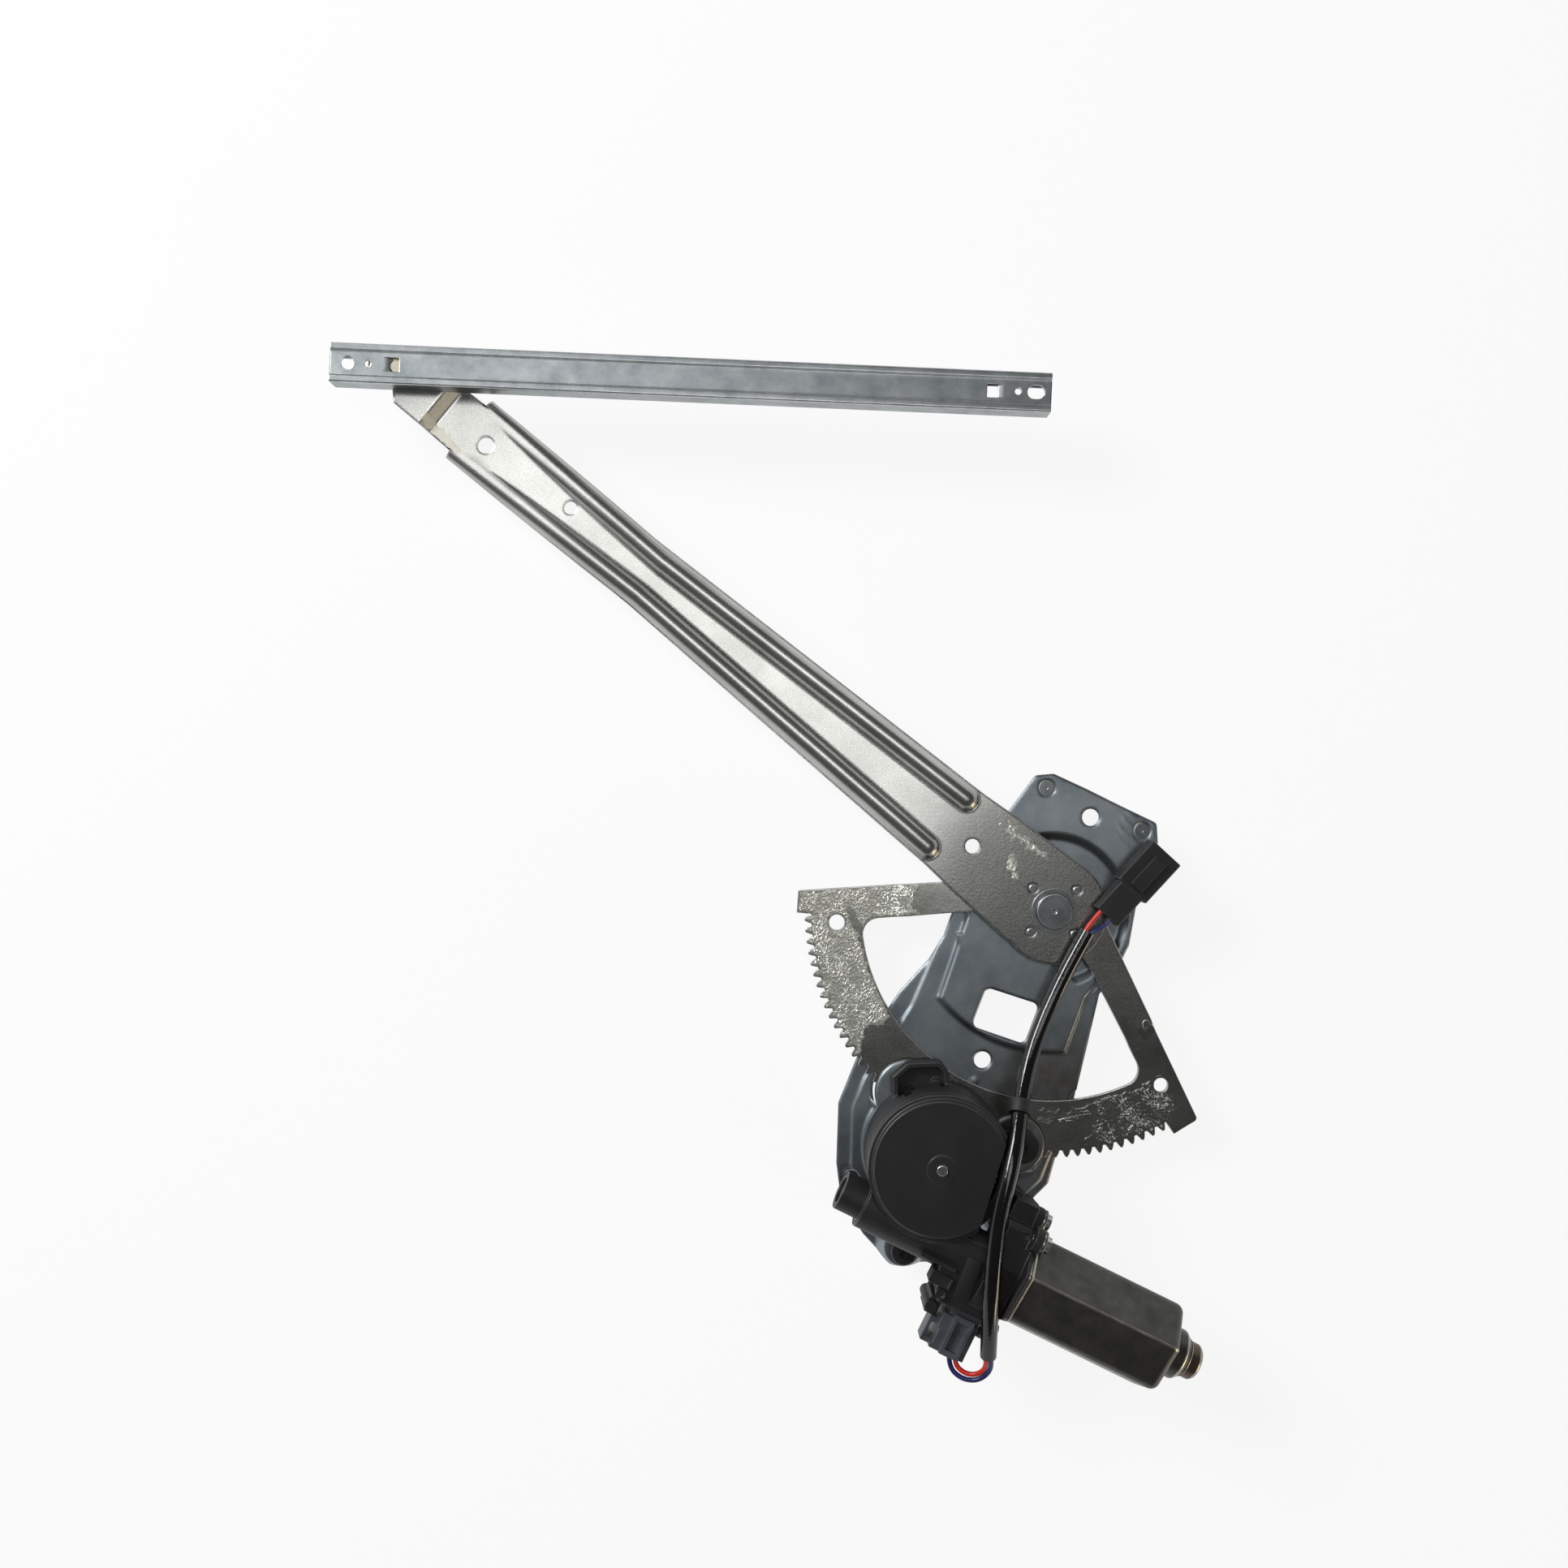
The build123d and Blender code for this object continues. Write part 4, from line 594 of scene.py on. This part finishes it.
def steps_from_rim(mesh, most):
    """For each point, how many points it lies inside the open rim, up to most."""
    linked = [[] for _ in mesh.vertices]
    uses = {}
    for face in mesh.polygons:
        for key in face.edge_keys:
            uses[key] = uses.get(key, 0) + 1
    for a, b in uses:
        linked[a].append(b)
        linked[b].append(a)
    ring = {v for pair, n in uses.items() if n == 1 for v in pair}
    steps = {v: 0 for v in ring}
    for step in range(1, most):
        ring = {b for a in ring for b in linked[a] if b not in steps}
        steps.update({v: step for v in ring})
    return [steps.get(v.index, most) for v in mesh.vertices]


print("a unit square's middle lies inside by",
      depth_inside(0.5, 0.5, [(0, 0), (1, 0), (1, 1), (0, 1)]))

# %% Ridged film
RIM_STEPS, SUNK_MM, FILM_MM, BODY_MM, RAGGED_SCALE = 4, 0.06, 0.08, 0.15, 0.35


def smear(name, node, finish, cell_mm, thick_mm, size_mm, along, stretch, ragged, outline):
    """A ridged film on top of a node, inside the outline given in millimetres."""
    xs, ys = [p[0] for p in outline], [p[1] for p in outline]
    wide, tall = max(xs) - min(xs), max(ys) - min(ys)
    middle = ((max(xs) + min(xs)) / 2, (max(ys) + min(ys)) / 2)
    bpy.ops.object.select_all(action="DESELECT")
    bpy.ops.mesh.primitive_grid_add(x_subdivisions=int(wide / cell_mm),
                                    y_subdivisions=int(tall / cell_mm), size=1.0)
    piece = bpy.context.active_object
    piece.name = name
    metal = metal_of(node)
    keep = []
    for v in piece.data.vertices:
        x, y = middle[0] + v.co.x * wide, middle[1] + v.co.y * tall
        hit = dropped(metal, x, y)
        wander = ragged * noise.noise(Vector((x, y, 0.0)) * RAGGED_SCALE)
        keep.append(hit is not None and depth_inside(x, y, outline) + wander >= 0)
        v.co = (x * MM, y * MM, hit.z if hit else 0.0)
    keep_only(piece, keep)
    mesh = piece.data
    crest = mesh.attributes.new("crest", "FLOAT", "POINT")
    for v, steps in zip(mesh.vertices, steps_from_rim(mesh, RIM_STEPS + 1)):
        height = crinkle(v.co.x, v.co.y, size_mm, along, stretch)
        fade = min(1.0, steps / RIM_STEPS)
        crest.data[v.index].value = height * fade
        v.co.z += (fade * (SUNK_MM + FILM_MM + thick_mm * height) - SUNK_MM) * MM
    bpy.ops.object.shade_smooth()
    solid = piece.modifiers.new("body", "SOLIDIFY")
    solid.thickness, solid.offset = BODY_MM * MM, -1.0
    bpy.ops.object.modifier_apply(modifier="body")
    mesh.materials.append(finish)
    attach(piece, BODY_OF[node])
    print(name, "faces", len(mesh.polygons))


# %% [markdown]
# The grease lies where the pinion and the shoe have pushed it: all over the left run of teeth and
# along the sector's left side, on the right run of teeth, in flecks on the arm near the pivot, and
# dried to a cream paste at the arm's end. Where it was dragged, the ridges run along the teeth. A
# row gives the node, the finish, the grid's step, the ridges' height and spacing in mm, their
# direction in degrees and how far they are drawn out, how far the rim wanders, and the outline,
# in mm.

# %% Grease on sector and arm
SMEARS = {
    "grease_left": ("sector_gear", SILVERY, 0.36, 0.30, 1.9, 0, 1.0, 2.5, [
        (-123, -51), (-61, -46), (-66, -56), (-62, -66), (-83, -65), (-90.5, -69.5), (-96, -62),
        (-99, -58), (-95, -66), (-91, -76), (-87, -90), (-82, -99), (-77, -110), (-80, -118),
        (-91, -118), (-90, -122), (-90.5, -127), (-92, -134), (-97, -134), (-105, -121),
        (-114, -104), (-120, -87), (-123, -70), (-125, -59)]),
    "grease_right": ("sector_gear", DRAGGED, 0.36, 0.24, 2.0, -35, 1.6, 2.5, [
        (23, -153), (44, -148), (47, -145), (57, -141), (62, -150), (68, -160), (63, -168),
        (57, -174), (46, -178), (32, -181), (17, -184), (17, -175), (23, -166)]),
    "grease_streaks": ("sector_gear", DRAGGED, 0.36, 0.20, 1.8, 10, 9.0, 3.5, [
        (-6, -158), (8, -157.5), (24, -155), (24, -163), (8, -166), (-6, -167)]),
    "grease_fleck_hub": ("lift_arm", SILVERY, 0.30, 0.22, 1.5, -60, 1.5, 2.0, [
        (-21, -34), (-17, -31), (-15, -36), (-14, -44), (-18, -46), (-21, -41)]),
    "grease_fleck_edge": ("lift_arm", SILVERY, 0.30, 0.20, 1.5, -40, 2.0, 4.5, [
        (-24, -14), (-18, -17), (-8, -25), (1, -32), (-2, -36), (-10, -31), (-19, -24),
        (-25, -18)]),
    "grease_cream": ("lift_arm", CREAMY, 0.36, 0.25, 3.0, -45, 2.0, 2.5, [
        (-308, 181), (-303, 184), (-296, 176), (-290, 168), (-286, 164), (-290, 163),
        (-298, 170), (-304, 175)]),
}
for name, (node, finish, cell, thick, size, turn, stretch, ragged, outline) in SMEARS.items():
    smear(name, node, finish, cell, thick, size, math.radians(turn), stretch, ragged, outline)

# %% [markdown]
# Between the worm's tube and the motor the real case carries small mouldings: a raised panel over
# the brushes, a rib, a stepped lever block and a round peg beside it. Each starts as a primitive
# on the case, has its top inset and pressed in, and its edges bevelled, and ends inside the case
# below, so no gap shows.

# %% Small mouldings on the case
CASE = metal_of("gearbox_housing")
FOOT_MM, INSET_SHARE, MOULD_EASE_MM = 1.0, 0.16, 0.35
# A face is the top where its normal's upward share is above this.
UP = 0.9


def moulding(name, middle, size, turn_deg, rise_mm, press_mm, round_sides):
    """A block, or a round peg, with a pressed-in top, seated on the case and riding with it."""
    turn = math.radians(turn_deg)
    c, s = math.cos(turn), math.sin(turn)
    hits = [dropped(CASE, middle[0] + a * c - b * s, middle[1] + a * s + b * c)
            for a in (-size[0] / 2, 0, size[0] / 2) for b in (-size[1] / 2, 0, size[1] / 2)]
    tops = [hit.z / MM for hit in hits if hit is not None]
    bottom, top = min(tops) - FOOT_MM, max(tops) + rise_mm
    place = (middle[0] * MM, middle[1] * MM, (bottom + top) / 2 * MM)
    bpy.ops.object.select_all(action="DESELECT")
    if round_sides:
        bpy.ops.mesh.primitive_cylinder_add(vertices=round_sides, radius=size[0] / 2 * MM,
                                            depth=(top - bottom) * MM, location=place)
    else:
        bpy.ops.mesh.primitive_cube_add(size=1.0, location=place, rotation=(0, 0, turn),
                                        scale=(size[0] * MM, size[1] * MM, (top - bottom) * MM))
    piece = bpy.context.active_object
    piece.name = name
    bpy.ops.object.transform_apply(location=True, rotation=True, scale=True)
    for face in piece.data.polygons:
        face.select = face.normal.z > UP
    bpy.ops.object.mode_set(mode="EDIT")
    bpy.ops.mesh.select_mode(type="FACE")
    bpy.ops.mesh.inset(thickness=min(size) * INSET_SHARE * MM, depth=-press_mm * MM)
    bpy.ops.object.mode_set(mode="OBJECT")
    ease = piece.modifiers.new("ease", "BEVEL")
    ease.width, ease.segments, ease.limit_method = MOULD_EASE_MM * MM, EASE_STEPS, "ANGLE"
    bpy.ops.object.modifier_apply(modifier="ease")
    bpy.ops.object.shade_smooth_by_angle(angle=math.radians(SMOOTH_DEG))
    piece.data.materials.append(FINISH["black_nylon"])
    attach(piece, "base")
    print(name, "case tops mm", round(min(tops), 1), round(max(tops), 1), "top mm", round(top, 1))


# A row gives the middle, the length and width, all in mm, the turn in degrees, how far it rises
# over the case and its top is pressed in, in mm, and the number of sides if it is round.
for name, middle, size, turn, rise, press, sides in (
        ("brush_panel", (-43.7, -229.6), (21.0, 8.6), 69.0, 1.4, 0.5, 0),
        ("case_rib", (-57.4, -221.8), (18.0, 2.2), -27.0, 1.6, 0.3, 0),
        ("lever_block", (-56.4, -230.0), (10.5, 6.0), -27.0, 2.0, 0.7, 0),
        ("lever_peg", (-56.6, -236.2), (4.8, 4.8), 0.0, 3.0, 0.8, 32)):
    moulding(name, middle, size, turn, rise, press, sides)

# %% [markdown]
# The lead is two insulated wires in a vinyl sleeve, from the motor's plug over the gearbox to the
# connector. Each is one smooth spline that listed control points steer, with a round section, so
# that it bends as cable does, with no corners.

# %% Cables and sleeve
SLEEVE = [(-0.0336, -0.2671, 0.0380), (-0.0345, -0.2417, 0.0505), (-0.0333, -0.2210, 0.0515),
          (-0.0307, -0.1984, 0.0500), (-0.0245, -0.1776, 0.0470), (-0.0206, -0.1629, 0.0415),
          (-0.0149, -0.1393, 0.0280), (-0.0087, -0.1212, 0.0230), (-0.0017, -0.1056, 0.0205),
          (0.0078, -0.0861, 0.0195), (0.0172, -0.0695, 0.0195)]
RED = [(-0.04758, -0.27161, 0.0260), (-0.04828, -0.27544, 0.0268), (-0.04395, -0.27940, 0.0286),
       (-0.03817, -0.27940, 0.0308), (-0.03392, -0.27514, 0.0332), (-0.03485, -0.26714, 0.0380),
       (-0.03575, -0.24169, 0.0505), (-0.03455, -0.22089, 0.0515), (-0.03193, -0.19815, 0.0500),
       (-0.02570, -0.17726, 0.0470), (-0.02181, -0.16259, 0.0415), (-0.01610, -0.13895, 0.0280),
       (-0.00986, -0.12074, 0.0230), (-0.00283, -0.10507, 0.0205), (0.00669, -0.08552, 0.0195),
       (0.01611, -0.06888, 0.0195), (0.02047, -0.06310, 0.0195), (0.02352, -0.05980, 0.0195)]
BLUE = [(-0.05063, -0.27011, 0.0260), (-0.05116, -0.27676, 0.0268), (-0.04523, -0.28216, 0.0286),
        (-0.03733, -0.28216, 0.0308), (-0.03151, -0.27634, 0.0332), (-0.03235, -0.26706, 0.0380),
        (-0.03325, -0.24171, 0.0505), (-0.03205, -0.22111, 0.0515), (-0.02947, -0.19865, 0.0500),
        (-0.02330, -0.17794, 0.0470), (-0.01939, -0.16321, 0.0415), (-0.01370, -0.13965, 0.0280),
        (-0.00754, -0.12166, 0.0230), (-0.00057, -0.10613, 0.0205), (0.00891, -0.08668, 0.0195),
        (0.01829, -0.07012, 0.0195), (0.02503, -0.06731, 0.0195), (0.02808, -0.06400, 0.0195)]
WIRE_D, SLEEVE_D = 0.0024, 0.0080
SPLINE_STEPS, ROUND_STEPS = 12, 6


def cable(name, points, diameter, slot):
    """A round cable along one smooth spline whose control points are given."""
    curve = bpy.data.curves.new(name, "CURVE")
    curve.dimensions, curve.resolution_u, curve.use_fill_caps = "3D", SPLINE_STEPS, True
    curve.bevel_depth, curve.bevel_resolution = diameter / 2, ROUND_STEPS
    spline = curve.splines.new("NURBS")
    spline.points.add(len(points) - 1)
    for place, p in zip(spline.points, points):
        place.co = (*p, 1.0)
    spline.order_u = 3
    spline.use_endpoint_u = True
    obj = bpy.data.objects.new(name + "_cord", curve)
    bpy.context.scene.collection.objects.link(obj)
    curve.materials.append(FINISH[slot])
    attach(obj, "base")
    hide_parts(name)
    return obj


red = cable("wire_red", RED, WIRE_D, "wire_red")
blue = cable("wire_blue", BLUE, WIRE_D, "wire_blue")
sleeve = cable("harness_sleeve", SLEEVE, SLEEVE_D, "sleeve_vinyl")
print("control points", len(RED), len(BLUE), len(SLEEVE))

# %% [markdown]
# The studio is a white paper dish: a round floor whose rim is drawn up into a wall, so that any
# view has white behind it. Camera and mirror rays see most of the paper as plain white; the rest
# of it is lit, which keeps the shadow.

# %% Paper floor and wall
FLOOR_R, WALL_H, FLOOR_GAP, FLOOR_SIDES = 6.0, 2.4, 0.0002, 96
bpy.ops.object.select_all(action="DESELECT")
bpy.ops.mesh.primitive_circle_add(vertices=FLOOR_SIDES, radius=FLOOR_R, fill_type="NGON",
                                  location=(0, 0, cad_low.z - FLOOR_GAP))
floor = bpy.context.active_object
floor.name = "floor"
bpy.ops.object.mode_set(mode="EDIT")
bpy.ops.mesh.select_mode(type="EDGE")
bpy.ops.mesh.select_all(action="DESELECT")
bpy.ops.mesh.select_non_manifold()
bpy.ops.mesh.extrude_edges_move(TRANSFORM_OT_translate={"value": (0, 0, WALL_H)})
bpy.ops.object.mode_set(mode="OBJECT")
floor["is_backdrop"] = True

SEEN_WHITE = 0.88
paper = bpy.data.materials.new("white_paper")
paper.use_nodes = True
tree = paper.node_tree
tree.nodes.clear()
paper_out = add(tree, "OutputMaterial")
rays = add(tree, "LightPath")
seen = add(tree, "Math", {0: rays.outputs["Is Camera Ray"], 1: rays.outputs["Is Glossy Ray"]},
           operation="MAXIMUM")
seen = add(tree, "Math", {0: seen.outputs[0], 1: rays.outputs["Is Transmission Ray"]},
           operation="MAXIMUM")
share = add(tree, "Math", {0: seen.outputs[0], 1: SEEN_WHITE}, operation="MULTIPLY")
white = add(tree, "BsdfDiffuse", {"Color": "#FAFAFA"})
glow = add(tree, "Emission", {"Color": "#FFFFFF", "Strength": 1.0})
both = add(tree, "MixShader", {0: share.outputs[0], 1: white.outputs[0], 2: glow.outputs[0]})
tree.links.new(both.outputs[0], paper_out.inputs["Surface"])
floor.data.materials.append(paper)
print("paper faces", len(floor.data.polygons))

# %% [markdown]
# Bright metal looks like what it mirrors. One broad lamp hangs over the arm, so the arm's flat web
# and the crests of its beads mirror it, while the metal right of the pivot looks past it into a
# dim room and stays dark. Low lamps stand in line with the arm, where the sides of the beads do
# not see them. The one at the right is warm: it puts a glint of gold on the bead ends and warms
# the arm's joggle.

# %% Lamps and room
ROOM_GREY, WARM = (0.100, 0.101, 0.103, 1.0), (1.0, 0.80, 0.56)
world = bpy.data.worlds.new("studio")
bpy.context.scene.world = world
world.use_nodes = True
room = world.node_tree.nodes["Background"]
room.inputs["Color"].default_value = ROOM_GREY
room.inputs["Strength"].default_value = 1.0


def panel(name, place, aim, size, power, colour=(1.0, 1.0, 1.0), turn=0.0):
    """A soft rectangular lamp at place that faces aim, turned about its own axis by turn
    degrees."""
    lamp = bpy.data.lights.new(name, "AREA")
    lamp.shape, lamp.size, lamp.size_y, lamp.energy = "RECTANGLE", size[0], size[1], power
    lamp.color = colour
    obj = bpy.data.objects.new(name, lamp)
    obj.location = place
    obj.rotation_mode = "QUATERNION"
    facing = (Vector(aim) - Vector(place)).to_track_quat("-Z", "Y")
    obj.rotation_quaternion = facing @ Quaternion((0, 0, 1), math.radians(turn))
    bpy.context.scene.collection.objects.link(obj)
    print(name, "watts", power)


panel("key_panel", (-0.251, 0.3245, 1.60), (-0.251, 0.3255, 0), (1.2, 0.43), 4.8, turn=147.0)
panel("left_panel", (-1.6, 1.05, 1.25), (-0.1, 0, 0), (0.95, 0.7), 38.0)
panel("right_panel", (1.6, -1.35, 0.45), (0, -0.1, 0), (1.0, 0.6), 11.0, colour=WARM)

# %% Measure and finish
low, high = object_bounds()
print("visual mm", [round(c / MM, 1) for c in low], [round(c / MM, 1) for c in high])
